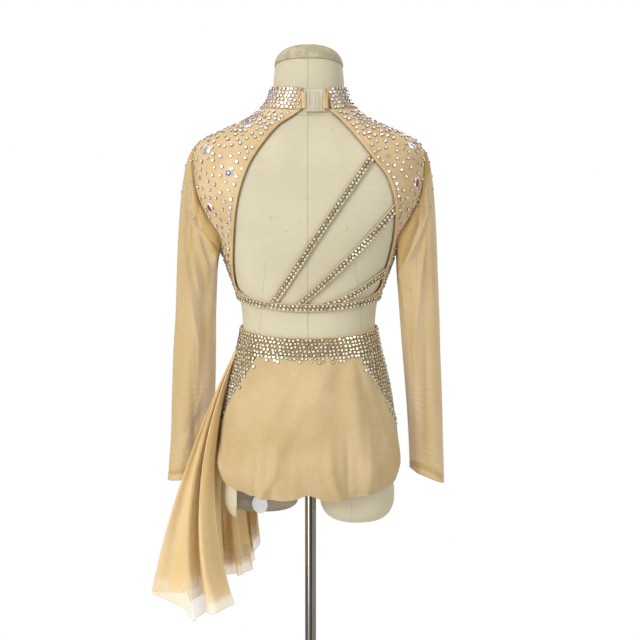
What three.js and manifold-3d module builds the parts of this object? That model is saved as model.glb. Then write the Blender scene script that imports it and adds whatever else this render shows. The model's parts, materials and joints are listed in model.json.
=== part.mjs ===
// A two-piece lyrical dance costume worn by a limbless dress form on a pole stand.
// Top: a high-necked crop top of stretch cloth with sheer long sleeves, a deep open back, three
// slanting back straps, a narrow band under the bust and a moulded clasp at the nape.
// Bottom: high-waisted shorts with stone-covered side pieces, full bubble panels and a sheer
// side drape that falls in flutes from the left hip.
// Millimetres, +Z up, the costume's front faces -Y, and the wearer's left is +X.
// The origin is on the floor, under the middle of the round base plate.

import * as THREE from "three";
import { mergeVertices } from "three/addons/utils/BufferGeometryUtils.js";
import Module from "manifold-3d";

const wasm = await Module();
wasm.setup();

// Driving sizes
const seamGap = 0.3; // between two pieces at a seam
const clothWall = 1.2; // stretch cloth, as a wall
const sheerWall = 1.0; // sheer mesh, as a wall
const formClearance = 2.1; // from the form's skin to the cloth's inner face
const collarSeam = 1380; // level of the seam between yoke and stand collar
const collarHeight = 35;
const bandTop = 1071; // top edge of the band under the bust, at the centre back
const bandHeight = 11.5;
const waistTop = 1017; // top edge of the shorts, at the centre back
const waistbandHeight = 30;
const hipPoint = 862; // where each side piece of the shorts runs out to a point
const poleRadius = 9.2;
const poleOffset = -2.4; // the pole stands beside the gusset, in the right leg opening
const baseRadius = 180;
const baseThickness = 8;
const armholeTop = 1320;
const armholeBottom = 1146;
const degree = Math.PI / 180;

// The figure that the cloth is cut for, as level rings from the hips up to the neck.
// half is the half width; front and back are depths from the middle; sideRise and frontRise
// lift a ring at the sides and at the centre front above its level at the centre back.
const figure = [
  { level: 775, half: 96, front: 66, back: 84, sideRise: 0, frontRise: 0 },
  { level: 800, half: 127, front: 84, back: 99, sideRise: 0, frontRise: 0 },
  { level: 830, half: 140, front: 92, back: 107, sideRise: 0, frontRise: 0 },
  { level: 865, half: 141, front: 95, back: 108, sideRise: 0, frontRise: 0 },
  { level: 905, half: 136.5, front: 95, back: 104, sideRise: 1, frontRise: 1 },
  { level: 940, half: 129.5, front: 92, back: 97, sideRise: 4, frontRise: 2 },
  { level: 985, half: 117.3, front: 87, back: 88, sideRise: 9, frontRise: 4 },
  { level: 1017, half: 111.3, front: 82, back: 82.5, sideRise: 10, frontRise: 6 },
  { level: 1045, half: 112.8, front: 83, back: 81.5, sideRise: 12, frontRise: 8 },
  { level: 1071, half: 119, front: 88, back: 84, sideRise: 14, frontRise: 8 },
  { level: 1100, half: 127.3, front: 96, back: 87.5, sideRise: 9, frontRise: 6 },
  { level: 1140, half: 139.5, front: 106, back: 91.5, sideRise: 4, frontRise: 2 },
  { level: 1175, half: 150, front: 111, back: 94, sideRise: 0, frontRise: 0 },
  { level: 1205, half: 168, front: 110, back: 94.5, sideRise: 0, frontRise: 0 },
  { level: 1240, half: 183, front: 100, back: 93, sideRise: 0, frontRise: 0 },
  { level: 1270, half: 188, front: 88, back: 90, sideRise: 0, frontRise: 0 },
  { level: 1295, half: 188.5, front: 77, back: 85, sideRise: 0, frontRise: -2 },
  { level: 1312, half: 187, front: 69, back: 79, sideRise: 1, frontRise: -4 },
  { level: 1322, half: 183, front: 64, back: 75, sideRise: 2, frontRise: -7 },
  { level: 1331, half: 175, front: 61, back: 71, sideRise: 2.5, frontRise: -10 },
  { level: 1340, half: 158, front: 59, back: 67, sideRise: 3, frontRise: -13 },
  { level: 1349, half: 137, front: 58, back: 63.5, sideRise: 4, frontRise: -16 },
  { level: 1358, half: 114, front: 57.5, back: 60, sideRise: 5, frontRise: -19 },
  { level: 1368, half: 95, front: 57, back: 57, sideRise: 5.5, frontRise: -22 },
  { level: 1380, half: 79, front: 57, back: 54.5, sideRise: 6, frontRise: -24 },
  { level: 1395, half: 67, front: 57, back: 52.5, sideRise: 6, frontRise: -26 },
  { level: 1412, half: 61, front: 57, back: 51, sideRise: 5, frontRise: -27 },
  { level: 1435, half: 59.2, front: 56, back: 50, sideRise: 2, frontRise: -28 },
  { level: 1462, half: 56.8, front: 55, back: 49, sideRise: -5, frontRise: -30 },
];
const squareness = 2.3; // power of the rings' rounded-oval section; 2 would be an ellipse
const neckTop = figure.at(-1).level;

// The edge of the open back: its distance from the middle at each level, on each side.
const openingLeft = [
  { level: 1071, across: 97 },
  { level: 1073, across: 104 },
  { level: 1076, across: 110 },
  { level: 1080, across: 114.5 },
  { level: 1085, across: 117.2 },
  { level: 1094, across: 119 },
  { level: 1128, across: 121.4 },
  { level: 1182, across: 119.2 },
  { level: 1231, across: 113.7 },
  { level: 1263, across: 105.6 },
  { level: 1295, across: 92.9 },
  { level: 1325, across: 73.4 },
  { level: 1355, across: 47.6 },
  { level: 1368, across: 28 },
  { level: 1380, across: 12 },
];
const openingRight = [
  { level: 1071, across: 93 },
  { level: 1073, across: 101 },
  { level: 1076, across: 107.5 },
  { level: 1080, across: 112 },
  { level: 1085, across: 115 },
  { level: 1094, across: 117.5 },
  { level: 1108, across: 120.5 },
  { level: 1134, across: 128.1 },
  { level: 1172, across: 135.6 },
  { level: 1208, across: 138.1 },
  { level: 1237, across: 136.1 },
  { level: 1273, across: 124.7 },
  { level: 1299, across: 105 },
  { level: 1328, across: 82.4 },
  { level: 1357, across: 56.5 },
  { level: 1380, across: 32 },
];

// How far round the body the armhole opens, in degrees each way from the side, before its
// ends are rounded off.
const armholeSpread = [
  { level: 1146, spread: 31 },
  { level: 1185, spread: 26 },
  { level: 1205, spread: 20.5 },
  { level: 1240, spread: 15 },
  { level: 1320, spread: 14 },
];

// Half the angle that each side piece of the shorts covers, back and front of the side.
const sidePieceSpread = [
  { level: hipPoint, spread: 2 },
  { level: 884, spread: 14 },
  { level: 905, spread: 23 },
  { level: 930, spread: 33 },
  { level: 958, spread: 42 },
  { level: 990, spread: 50 },
];

// Oval rings of the sleeves below the armhole, the left one first.
const sleeveRings = {
  left: [
    { level: 772, across: 206.5, half: 31.5, forward: -31, depth: 33 },
    { level: 840, across: 197, half: 35, forward: -27, depth: 34 },
    { level: 905, across: 193, half: 36.5, forward: -21, depth: 37 },
    { level: 985, across: 190, half: 35.5, forward: -13, depth: 41 },
    { level: 1050, across: 187, half: 33.5, forward: -7, depth: 44 },
    { level: 1120, across: 184, half: 33.5, forward: -2, depth: 46 },
  ],
  right: [
    { level: 775, across: 198, half: 29, forward: -30, depth: 33 },
    { level: 840, across: 195.5, half: 29, forward: -25, depth: 34 },
    { level: 905, across: 192, half: 30, forward: -19, depth: 37 },
    { level: 985, across: 186.5, half: 31.5, forward: -12, depth: 41 },
    { level: 1050, across: 182.5, half: 33, forward: -6, depth: 44 },
    { level: 1120, across: 178, half: 34, forward: -2, depth: 46 },
  ],
};
const cuffSlant = { left: 5, right: 13 }; // the cuff is this much higher at its inner side

// Soft folds in a tube or panel. Each runs from (startAt, startTurn) to (endAt, endTurn): the
// level it begins and ends at, and its angle round the piece there. Depth is plus for a ridge.
const sleeveFolds = {
  left: [
    { startAt: 1225, startTurn: 300, endAt: 1085, endTurn: 236, depth: -7, width: 15 },
    { startAt: 1235, startTurn: 268, endAt: 1150, endTurn: 214, depth: 5, width: 15 },
    { startAt: 1150, startTurn: 268, endAt: 800, endTurn: 285, depth: 3.5, width: 17 },
    { startAt: 1060, startTurn: 240, endAt: 830, endTurn: 246, depth: -4, width: 16 },
    { startAt: 1180, startTurn: 100, endAt: 840, endTurn: 78, depth: -4.5, width: 18 },
    { startAt: 1080, startTurn: 140, endAt: 800, endTurn: 125, depth: 3.5, width: 18 },
    { startAt: 1200, startTurn: 30, endAt: 900, endTurn: 18, depth: -3, width: 16 },
    { startAt: 905, startTurn: 200, endAt: 840, endTurn: 300, depth: -3, width: 24 },
  ],
  right: [
    { startAt: 1230, startTurn: 310, endAt: 1090, endTurn: 238, depth: -6, width: 16 },
    { startAt: 1215, startTurn: 262, endAt: 1130, endTurn: 215, depth: 4.5, width: 15 },
    { startAt: 1130, startTurn: 290, endAt: 840, endTurn: 270, depth: -4, width: 16 },
    { startAt: 1100, startTurn: 252, endAt: 800, endTurn: 240, depth: 3.5, width: 16 },
    { startAt: 1170, startTurn: 95, endAt: 850, endTurn: 80, depth: -4.5, width: 18 },
    { startAt: 1070, startTurn: 135, endAt: 800, endTurn: 128, depth: 3.5, width: 18 },
    { startAt: 1190, startTurn: 28, endAt: 880, endTurn: 20, depth: -3, width: 16 },
  ],
};

// How far the bubble panels stand off the figure, from the waist seam down to the hem: at the
// middle of each panel, and at the side seams that hold them in.
const bubbleStand = [
  { level: 740, middle: 9, side: 0.6 },
  { level: 775, middle: 13, side: 0.6 },
  { level: 800, middle: 13, side: 0.8 },
  { level: 828, middle: 9, side: 1.8 },
  { level: 850, middle: 6.5, side: 1 },
  { level: 880, middle: 4, side: 0.2 },
  { level: 930, middle: 2.4, side: 0 },
  { level: 960, middle: 1.2, side: 0 },
  { level: 990, middle: 0, side: 0 },
];
// Below the hip the bubbles hang from the figure's widest ring instead of following it in.
const hangingSections = [
  { level: 740, half: 139, front: 86, back: 97 },
  { level: 775, half: 139.8, front: 92, back: 103 },
  { level: 800, half: 140.6, front: 94, back: 106 },
  { level: 830, half: 141, front: 95, back: 108 },
  { level: 865, half: 141, front: 95, back: 108 },
  { level: 905, half: 136.5, front: 95, back: 104 },
];
// The hem round the body: its height, high over the outside of each thigh and lowest behind
// it, and how far it turns in towards the leg.
const hemLine = [
  { turn: 0, level: 790, tuck: 0.4 },
  { turn: 12, level: 788, tuck: 1 },
  { turn: 27, level: 780, tuck: 3 },
  { turn: 38, level: 773, tuck: 5 },
  { turn: 57, level: 766, tuck: 10 },
  { turn: 68, level: 761, tuck: 13 },
  { turn: 80, level: 761, tuck: 15 },
  { turn: 90, level: 771, tuck: 15 },
];
const bubbleFoldsBack = [
  { startAt: 985, startTurn: 64, endAt: 770, endTurn: 30, depth: -3.2, width: 6 },
  { startAt: 985, startTurn: 72, endAt: 745, endTurn: 58, depth: 3.0, width: 7 },
  { startAt: 985, startTurn: 84, endAt: 760, endTurn: 80, depth: -4.2, width: 7 },
  { startAt: 985, startTurn: 97, endAt: 745, endTurn: 98, depth: 3.2, width: 6 },
  { startAt: 985, startTurn: 106, endAt: 745, endTurn: 111, depth: -3.6, width: 6 },
  { startAt: 985, startTurn: 114, endAt: 745, endTurn: 128, depth: 3.0, width: 6 },
  { startAt: 900, startTurn: 146, endAt: 760, endTurn: 138, depth: -3.0, width: 6 },
  { startAt: 850, startTurn: 176, endAt: 775, endTurn: 152, depth: 2.4, width: 6 },
  { startAt: 850, startTurn: 3, endAt: 775, endTurn: 26, depth: 2.4, width: 6 },
  { startAt: 800, startTurn: 66, endAt: 740, endTurn: 68, depth: -5.0, width: 4.5 },
  { startAt: 800, startTurn: 118, endAt: 740, endTurn: 119, depth: -5.5, width: 4.5 },
  { startAt: 790, startTurn: 44, endAt: 740, endTurn: 45, depth: -4.0, width: 4.5 },
];
const bubbleFoldsFront = [
  { startAt: 980, startTurn: -68, endAt: 760, endTurn: -44, depth: -3.2, width: 7 },
  { startAt: 980, startTurn: -82, endAt: 750, endTurn: -78, depth: 3.0, width: 7 },
  { startAt: 980, startTurn: -98, endAt: 750, endTurn: -96, depth: -3.4, width: 7 },
  { startAt: 980, startTurn: -110, endAt: 750, endTurn: -122, depth: 3.0, width: 7 },
  { startAt: 850, startTurn: -8, endAt: 770, endTurn: -28, depth: 2.2, width: 7 },
  { startAt: 850, startTurn: -172, endAt: 770, endTurn: -150, depth: 2.2, width: 7 },
];

// The side drape: a row for each ridge and valley, from its back edge to its front edge.
// topTurn is where the fold is sewn round the hip, mid is its place at drapeMid, and hem is
// the place and height of its lower end.
const drapeTop = 984;
const drapeMid = 862;
const drapeFolds = [
  { topTurn: 13, midX: 148, midY: 37, hemX: 122, hemY: 54, hemZ: 575 },
  { topTurn: 11, midX: 161, midY: 57, hemX: 155, hemY: 98, hemZ: 570 },
  { topTurn: 8.5, midX: 160, midY: 40, hemX: 171, hemY: 48, hemZ: 560 },
  { topTurn: 6.5, midX: 170, midY: 54, hemX: 187, hemY: 98, hemZ: 560 },
  { topTurn: 4, midX: 167, midY: 32, hemX: 209, hemY: 44, hemZ: 567 },
  { topTurn: 1.5, midX: 178, midY: 28, hemX: 260, hemY: 26, hemZ: 586 },
  { topTurn: -1, midX: 158, midY: 13, hemX: 211, hemY: -4, hemZ: 578 },
  { topTurn: -3.5, midX: 154, midY: 0, hemX: 242, hemY: -56, hemZ: 573 },
  { topTurn: -6, midX: 150, midY: -14, hemX: 190, hemY: -42, hemZ: 578 },
  { topTurn: -9, midX: 151, midY: -32, hemX: 198, hemY: -102, hemZ: 574 },
  { topTurn: -12, midX: 144, midY: -46, hemX: 150, hemY: -72, hemZ: 580 },
  { topTurn: -15, midX: 144, midY: -68, hemX: 146, hemY: -132, hemZ: 578 },
  { topTurn: -18, midX: 129, midY: -78, hemX: 115, hemY: -100, hemZ: 586 },
  { topTurn: -21, midX: 119, midY: -99, hemX: 96, hemY: -136, hemZ: 604 },
  { topTurn: -24, midX: 101, midY: -104, hemX: 90, hemY: -112, hemZ: 668 },
];

// The three back straps: each runs from the right edge of the opening down to the band.
const backStraps = [
  { topX: -98.5, topLevel: 1302, middleX: -21.3, middleLevel: 1190, endX: 55.8 },
  { topX: -136.3, topLevel: 1221, middleX: -65.8, middleLevel: 1144, endX: 13.7 },
  { topX: -120, topLevel: 1111, middleX: -75, middleLevel: 1084.2, endX: -38.9 },
];
const strapHalfWidth = 4.6;

// One thigh stump: its ovals from inside the hips down to the domed end.
const thighRings = [
  { level: 885, across: 70, half: 57, depth: 76 },
  { level: 840, across: 74, half: 60.5, depth: 75 },
  { level: 790, across: 77.5, half: 61, depth: 73 },
  { level: 750, across: 79.5, half: 62, depth: 70 },
  { level: 731, across: 79.5, half: 59, depth: 66 },
  { level: 717, across: 79.5, half: 50, depth: 57 },
  { level: 709, across: 79.5, half: 36, depth: 41 },
  { level: 705.5, across: 79.5, half: 17, depth: 20 },
];
const thighBackset = 5; // the thighs' middles lie this far behind the figure's middle
// The left thigh is cut back under a slanting face, behind a lip at its outer side.
const cutHeight = 735; // the slanting face's height at the figure's middle
const cutSlope = 34 * degree;
const lipInside = 123.5; // the lip's inner face, at the figure's middle

// Materials
function finish(hex, roughness, metalness = 0) {
  return new THREE.MeshStandardMaterial({ color: hex, roughness, metalness });
}
const materials = {
  stretch: finish(0xe0c396, 0.6),
  chiffon: finish(0xd8bd8c, 0.75),
  sheer: finish(0xdcc398, 0.8),
  linen: finish(0xd9d0b3, 0.9),
  clasp: finish(0xd9cfb2, 0.35),
  tab: finish(0xe9eaee, 0.4),
  chrome: finish(0xb9bcc0, 0.15, 1),
  base: finish(0xc2c4c6, 0.25, 1),
};

// Reads a column of a table at a place between its rows, along a smooth curve.
function readTable(table, key, column, at) {
  const first = table[0];
  const last = table.at(-1);
  if (at <= first[key]) return first[column];
  if (at >= last[key]) return last[column];
  const i = table.findIndex((row) => row[key] > at) - 1;
  const slopeAt = (k) => {
    const low = table[Math.max(k - 1, 0)];
    const high = table[Math.min(k + 1, table.length - 1)];
    return (high[column] - low[column]) / (high[key] - low[key]);
  };
  const a = table[i];
  const b = table[i + 1];
  const span = b[key] - a[key];
  const t = (at - a[key]) / span;
  const rise = b[column] - a[column];
  const start = slopeAt(i) * span;
  const end = slopeAt(i + 1) * span;
  return a[column] + t * (start + t * (3 * rise - 2 * start - end + t * (start + end - 2 * rise)));
}

// A point of a rounded-oval ring. angle 0 is the left side, and 90 degrees the centre back.
function ovalPoint(half, depth, angle) {
  const c = Math.cos(angle);
  const s = Math.sin(angle);
  const x = half * Math.sign(c) * Math.abs(c) ** (2 / squareness);
  const y = depth * Math.sign(s) * Math.abs(s) ** (2 / squareness);
  return [x, y];
}

function ringHeight(level, angle) {
  const side = readTable(figure, "level", "sideRise", level) * Math.cos(angle) ** 2;
  const front = readTable(figure, "level", "frontRise", level);
  return level + side + front * ((1 - Math.sin(angle)) / 2) ** 2;
}

function figureSkin(angle, level) {
  const column = Math.sin(angle) < 0 ? "front" : "back";
  const half = readTable(figure, "level", "half", level);
  const depth = readTable(figure, "level", column, level);
  const [x, y] = ovalPoint(half, depth, angle);
  return new THREE.Vector3(x, y, ringHeight(level, angle));
}

// The outward direction of a surface given by two numbers, by small steps each way.
function normalOf(surface, u, v, stepU, stepV) {
  const along = surface(u + stepU, v).sub(surface(u - stepU, v));
  const up = surface(u, v + stepV).sub(surface(u, v - stepV));
  return along.cross(up).normalize();
}

// A sheet's point, moved off it by a lift. The sheet's first number runs anticlockwise seen
// from above and its second one upwards, so that a plus lift is outwards.
function lifted(sheet, stepU = 0.002, stepV = 0.002) {
  return (u, v, lift) => {
    const point = sheet(u, v);
    return point.addScaledVector(normalOf(sheet, u, v, stepU, stepV), lift);
  };
}

// A point on the figure, lifted off its skin.
const figurePoint = lifted(figureSkin, 0.02, 1.5);

// The angle round the figure at a distance from the middle, on its back.
function angleAtBack(across, level) {
  const half = readTable(figure, "level", "half", level);
  const share = Math.min(1, Math.abs(across) / half);
  const angle = Math.acos(share ** (squareness / 2));
  return across < 0 ? Math.PI - angle : angle;
}

// The angle that a small distance takes up round the figure.
function angleFor(distance, angle, level) {
  const step = 0.01;
  const length = figureSkin(angle + step, level).distanceTo(figureSkin(angle - step, level));
  return (distance * 2 * step) / length;
}

// The armhole's levels, closer together towards its rounded ends, as the sleeve's seam has them
const armholeMiddle = (armholeTop + armholeBottom) / 2;
const armholeReach = (armholeTop - armholeBottom) / 2;
const armholeSteps = 10;
const armholeLevels = Array.from(
  { length: armholeSteps + 1 },
  (_, k) => armholeMiddle - armholeReach * Math.cos((k / armholeSteps) * Math.PI),
);

function armholeAngle(level) {
  if (level <= armholeBottom || level >= armholeTop) return 0;
  const rounding = Math.sqrt(Math.max(0, 1 - ((level - armholeMiddle) / armholeReach) ** 2));
  return readTable(armholeSpread, "level", "spread", level) * rounding * degree;
}

// The height added by a table of folds at a place on a piece.
function foldHeight(folds, level, turn) {
  const fade = 45; // each fold dies away over this length past its ends
  let height = 0;
  for (const fold of folds) {
    const t = (fold.startAt - level) / (fold.startAt - fold.endAt);
    const held = Math.min(Math.max(t, 0), 1);
    const from = turn - (fold.startTurn + (fold.endTurn - fold.startTurn) * held);
    const off = ((((from + 180) % 360) + 360) % 360) - 180;
    const past = Math.abs(t - held) * (fold.startAt - fold.endAt);
    height += fold.depth * Math.exp(-((off / fold.width) ** 2) - (past / fade) ** 2);
  }
  return height;
}

// Geometry from points and triangles, turned so that its faces point out.
function solidGeometry(points, faces) {
  let volume = 0;
  for (const [a, b, c] of faces) {
    volume += points[a].dot(new THREE.Vector3().crossVectors(points[b], points[c]));
  }
  const order = volume < 0 ? (f) => [f[0], f[2], f[1]] : (f) => f;
  const geometry = new THREE.BufferGeometry();
  const numbers = points.flatMap((p) => p.toArray());
  geometry.setAttribute("position", new THREE.Float32BufferAttribute(numbers, 3));
  geometry.setIndex(faces.flatMap(order));
  geometry.computeVertexNormals();
  return geometry;
}

function steps(count) {
  return Array.from({ length: count + 1 }, (_, k) => k / count);
}

// A cloth wall: a grid of points on its inner face, a grid on its outer face, and a rim.
// A closed wall is a tube: its last column is joined to its first.
function wallGeometry({ pointAt, across, down, inner, outer, closed = false }) {
  const wide = across.length;
  const columns = closed ? wide : wide - 1;
  const rows = down.length - 1;
  const points = [];
  for (const lift of [inner, outer]) {
    for (const v of down) {
      for (const u of across) points.push(pointAt(u, v, lift));
    }
  }
  const faces = [];
  const at = (layer, j, i) => (layer * (rows + 1) + j) * wide + (i % wide);
  const quad = (a, b, c, d) => faces.push([a, b, c], [a, c, d]);
  for (let j = 0; j < rows; j++) {
    for (let i = 0; i < columns; i++) {
      quad(at(1, j, i), at(1, j, i + 1), at(1, j + 1, i + 1), at(1, j + 1, i));
      quad(at(0, j, i), at(0, j + 1, i), at(0, j + 1, i + 1), at(0, j, i + 1));
    }
    if (!closed) {
      quad(at(0, j, 0), at(1, j, 0), at(1, j + 1, 0), at(0, j + 1, 0));
      quad(at(1, j, columns), at(0, j, columns), at(0, j + 1, columns), at(1, j + 1, columns));
    }
  }
  for (let i = 0; i < columns; i++) {
    quad(at(0, 0, i), at(0, 0, i + 1), at(1, 0, i + 1), at(1, 0, i));
    quad(at(1, rows, i), at(1, rows, i + 1), at(0, rows, i + 1), at(0, rows, i));
  }
  return solidGeometry(points, faces);
}

// A solid skinned over rings of equal counts, closed at both ends by fans.
function loftGeometry(rings) {
  const count = rings[0].length;
  const points = rings.flat();
  const faces = [];
  for (let j = 0; j < rings.length - 1; j++) {
    for (let i = 0; i < count; i++) {
      const a = j * count + i;
      const b = j * count + ((i + 1) % count);
      faces.push([a, b, b + count], [a, b + count, a + count]);
    }
  }
  for (const ring of [0, rings.length - 1]) {
    const centre = new THREE.Vector3();
    for (const p of rings[ring]) centre.addScaledVector(p, 1 / count);
    const hub = points.push(centre) - 1;
    for (let i = 0; i < count; i++) {
      const a = ring * count + i;
      const b = ring * count + ((i + 1) % count);
      faces.push(ring === 0 ? [hub, b, a] : [hub, a, b]);
    }
  }
  return solidGeometry(points, faces);
}

function ringOf(count, pointAt) {
  return Array.from({ length: count }, (_, i) => pointAt((i / count) * 2 * Math.PI));
}

// To and from the solids that the joins and cuts work on.
function toSolid(geometry) {
  const bare = new THREE.BufferGeometry();
  bare.setAttribute("position", geometry.getAttribute("position"));
  bare.setIndex(geometry.getIndex());
  const merged = mergeVertices(bare, 1e-4);
  const vertProperties = merged.attributes.position.array;
  const triVerts = new Uint32Array(merged.index.array);
  return new wasm.Manifold(new wasm.Mesh({ numProp: 3, vertProperties, triVerts }));
}

function fromSolid(solid) {
  const mesh = solid.getMesh();
  const geometry = new THREE.BufferGeometry();
  geometry.setAttribute("position", new THREE.BufferAttribute(mesh.vertProperties, 3));
  geometry.setIndex(new THREE.BufferAttribute(mesh.triVerts, 1));
  geometry.computeVertexNormals();
  return geometry;
}

const costume = new THREE.Group();

function addPiece(name, geometry, material, parent = costume) {
  const mesh = new THREE.Mesh(geometry, material);
  mesh.name = name;
  parent.add(mesh);
}

// The dress form: hips, torso and neck in one skin, with two short thigh stumps. The left
// stump is cut back under a slanting face that looks back and down and carries a flat tab.
function addForm() {
  const levels = [775, 795, 830, 865, 900, 940, 980, 1017, 1045, 1071, 1100, 1130, 1155, 1180];
  levels.push(1205, 1240, 1270, 1295, 1312, 1322, 1331, 1340, 1349, 1358, 1368, 1374, 1380);
  levels.push(1387, 1395, 1414, 1438, neckTop);
  const skinAt = (level) => ringOf(32, (turn) => figurePoint(turn, level, -formClearance));
  const thighAt = (side, ring) =>
    ringOf(20, (turn) => {
      const [x, y] = ovalPoint(ring.half, ring.depth, turn);
      return new THREE.Vector3(side * ring.across + x, thighBackset + y, ring.level);
    });
  const thigh = (side) => toSolid(loftGeometry(thighRings.map((ring) => thighAt(side, ring))));
  const plan = new THREE.Shape();
  plan.moveTo(-10, -120);
  plan.lineTo(lipInside + 12, -120);
  plan.lineTo(lipInside - 12, 120);
  plan.lineTo(-10, 120);
  plan.closePath();
  const block = new THREE.ExtrudeGeometry(plan, { depth: 240, bevelEnabled: false });
  block.translate(0, 0, 600);
  const under = [0, Math.sin(cutSlope), -Math.cos(cutSlope)];
  const cut = toSolid(block).trimByPlane(under, -cutHeight * Math.cos(cutSlope));
  const socket = new THREE.CylinderGeometry(poleRadius + seamGap, poleRadius + seamGap, 90, 20);
  socket.rotateX(Math.PI / 2);
  socket.translate(poleOffset, 0, 815);
  const body = toSolid(loftGeometry(levels.map(skinAt)))
    .add(thigh(1).subtract(cut))
    .add(thigh(-1))
    .subtract(toSolid(socket));
  addPiece("form_body", fromSolid(body), materials.linen);

  const tab = new THREE.CylinderGeometry(13, 13, 1.6, 28);
  tab.scale(1, 1, 3.1);
  tab.rotateX(Math.PI / 2 + cutSlope);
  const outward = new THREE.Vector3(0, Math.sin(cutSlope), -Math.cos(cutSlope));
  outward.multiplyScalar(seamGap + 0.8);
  const middle = -8;
  tab.translate(82.5, middle + outward.y, cutHeight + Math.tan(cutSlope) * middle + outward.z);
  addPiece("thigh_tab", tab, materials.tab);
}

// The cap on the neck follows the neck's slanted top and rises to a low dome
function addNeckCap() {
  const profile = [
    { rise: 0.4, share: 1 },
    { rise: 9, share: 0.995 },
    { rise: 15, share: 0.95 },
    { rise: 22, share: 0.84 },
    { rise: 29, share: 0.62 },
    { rise: 34, share: 0.3 },
  ];
  const middle = new THREE.Vector3(0, -3.5, neckTop - 14);
  const rings = profile.map(({ rise, share }) =>
    ringOf(28, (turn) => {
      const rim = figurePoint(turn, neckTop, -formClearance);
      return middle.clone().lerp(rim, share).add(new THREE.Vector3(0, 0, rise));
    }),
  );
  addPiece("neck_cap", loftGeometry(rings), materials.linen);
}

// A chrome pole on a round weighted plate
function addStand() {
  const poleBottom = baseThickness + seamGap;
  const poleTop = 855;
  const pole = new THREE.CylinderGeometry(poleRadius, poleRadius, poleTop - poleBottom, 20);
  pole.rotateX(Math.PI / 2);
  pole.translate(poleOffset, 0, (poleTop + poleBottom) / 2);
  addPiece("stand_pole", pole, materials.chrome);

  const edge = 2;
  const turned = (outline, segments) => {
    const profile = outline.map(([x, y]) => new THREE.Vector2(x, y));
    return new THREE.LatheGeometry(profile, segments).rotateX(Math.PI / 2);
  };
  const plateOutline = [
    [0, 0],
    [baseRadius - edge, 0],
    [baseRadius, edge],
    [baseRadius, baseThickness - edge],
    [baseRadius - edge, baseThickness],
    [0, baseThickness],
  ];
  addPiece("base_plate", turned(plateOutline, 36), materials.base);

  const bore = poleRadius + seamGap;
  const flangeOutline = [
    [bore, 0],
    [34, 0],
    [34, 4],
    [18, 7],
    [15, 30],
    [bore, 30],
    [bore, 0],
  ];
  const flange = turned(flangeOutline, 20);
  flange.translate(poleOffset, 0, baseThickness + seamGap);
  addPiece("pole_flange", flange, materials.chrome);
}

// A panel on the figure. anglesAt gives the angles of its columns at each level.
function addFigurePanel({ name, anglesAt, levels, columns, inner = 0, outer = clothWall }) {
  const pointAt = (i, level, lift) => figurePoint(anglesAt(level)[i], level, lift);
  const geometry = wallGeometry({ pointAt, across: columns, down: levels, inner, outer });
  addPiece(name, geometry, materials.stretch);
}

// Evenly spaced angles between two edges, each drawn in by half a seam gap.
function anglesBetween(start, end, count, level) {
  const from = start + angleFor(seamGap / 2, start, level);
  const to = end - angleFor(seamGap / 2, end, level);
  return steps(count).map((share) => from + (to - from) * share);
}

function columnNumbers(first, last) {
  return Array.from({ length: last - first + 1 }, (_, k) => first + k);
}

const leftOpening = (level) =>
  angleAtBack(readTable(openingLeft, "level", "across", level), level);
const rightOpening = (level) =>
  angleAtBack(-readTable(openingRight, "level", "across", level), level);

// The crop top: its front, its two back panels, and the binding on the open back's edges
function addBodice() {
  const low = [bandTop + 0.5, 1073, 1076, 1080, 1085, 1094, 1110, 1128];
  const high = [1325, 1334, 1345, 1357, 1369, collarSeam - seamGap / 2];
  const levels = [...low, ...armholeLevels, ...high];
  const frontLevels = levels.filter((level) => ![1073, 1076, 1080].includes(level));
  addFigurePanel({
    name: "bodice_front",
    levels: frontLevels,
    columns: columnNumbers(0, 16),
    anglesAt: (level) =>
      anglesBetween(-Math.PI + armholeAngle(level), -armholeAngle(level), 16, level),
  });

  // The binding covers the last column of each back panel, out to the opening's edge.
  const bindingWidth = 6.5;
  const slantOf = (opening, level) => {
    const run = figureSkin(opening(level + 1), level + 1);
    run.sub(figureSkin(opening(level - 1), level - 1));
    return Math.min(run.length() / Math.abs(run.z), 5);
  };
  const bindingAngle = (opening, level) => {
    const angle = opening(level);
    return angleFor(bindingWidth * slantOf(opening, level), angle, level);
  };
  const panelColumns = 7;
  const leftAngles = (level) => {
    const edge = leftOpening(level);
    const inside = Math.max(edge - bindingAngle(leftOpening, level), armholeAngle(level) + 0.02);
    return [...anglesBetween(armholeAngle(level), inside, panelColumns - 1, level), edge];
  };
  const rightAngles = (level) => {
    const edge = rightOpening(level);
    const side = Math.PI - armholeAngle(level);
    const inside = Math.min(edge + bindingAngle(rightOpening, level), side - 0.02);
    return [edge, ...anglesBetween(inside, side, panelColumns - 1, level)];
  };
  const all = columnNumbers(0, panelColumns);
  const lift = clothWall + seamGap;
  const bound = { inner: lift, outer: lift + 0.9 };
  const boundLevels = levels.filter((level) => level > 1073 && level < 1375);
  addFigurePanel({ name: "bodice_back_left", levels, columns: all, anglesAt: leftAngles });
  addFigurePanel({ name: "bodice_back_right", levels, columns: all, anglesAt: rightAngles });
  addFigurePanel({
    name: "binding_left",
    levels: boundLevels,
    columns: [panelColumns - 1, panelColumns],
    anglesAt: leftAngles,
    ...bound,
  });
  addFigurePanel({
    name: "binding_right",
    levels: boundLevels,
    columns: [0, 1],
    anglesAt: rightAngles,
    ...bound,
  });
}

// The stand collar runs round the neck from one end of the clasp to the other
function addCollar() {
  const leftEnd = angleAtBack(9, 1395);
  const rightEnd = angleAtBack(-31.6, 1395) - 2 * Math.PI;
  const low = collarSeam + 0.3;
  const pointAt = (u, v, lift) =>
    figurePoint(rightEnd + (leftEnd - rightEnd) * u, low + collarHeight * v, 1.2 * v + lift);
  const wall = { pointAt, across: steps(32), down: steps(2), inner: 0.3, outer: 1.8 };
  addPiece("collar", wallGeometry(wall), materials.stretch);
}

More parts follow.
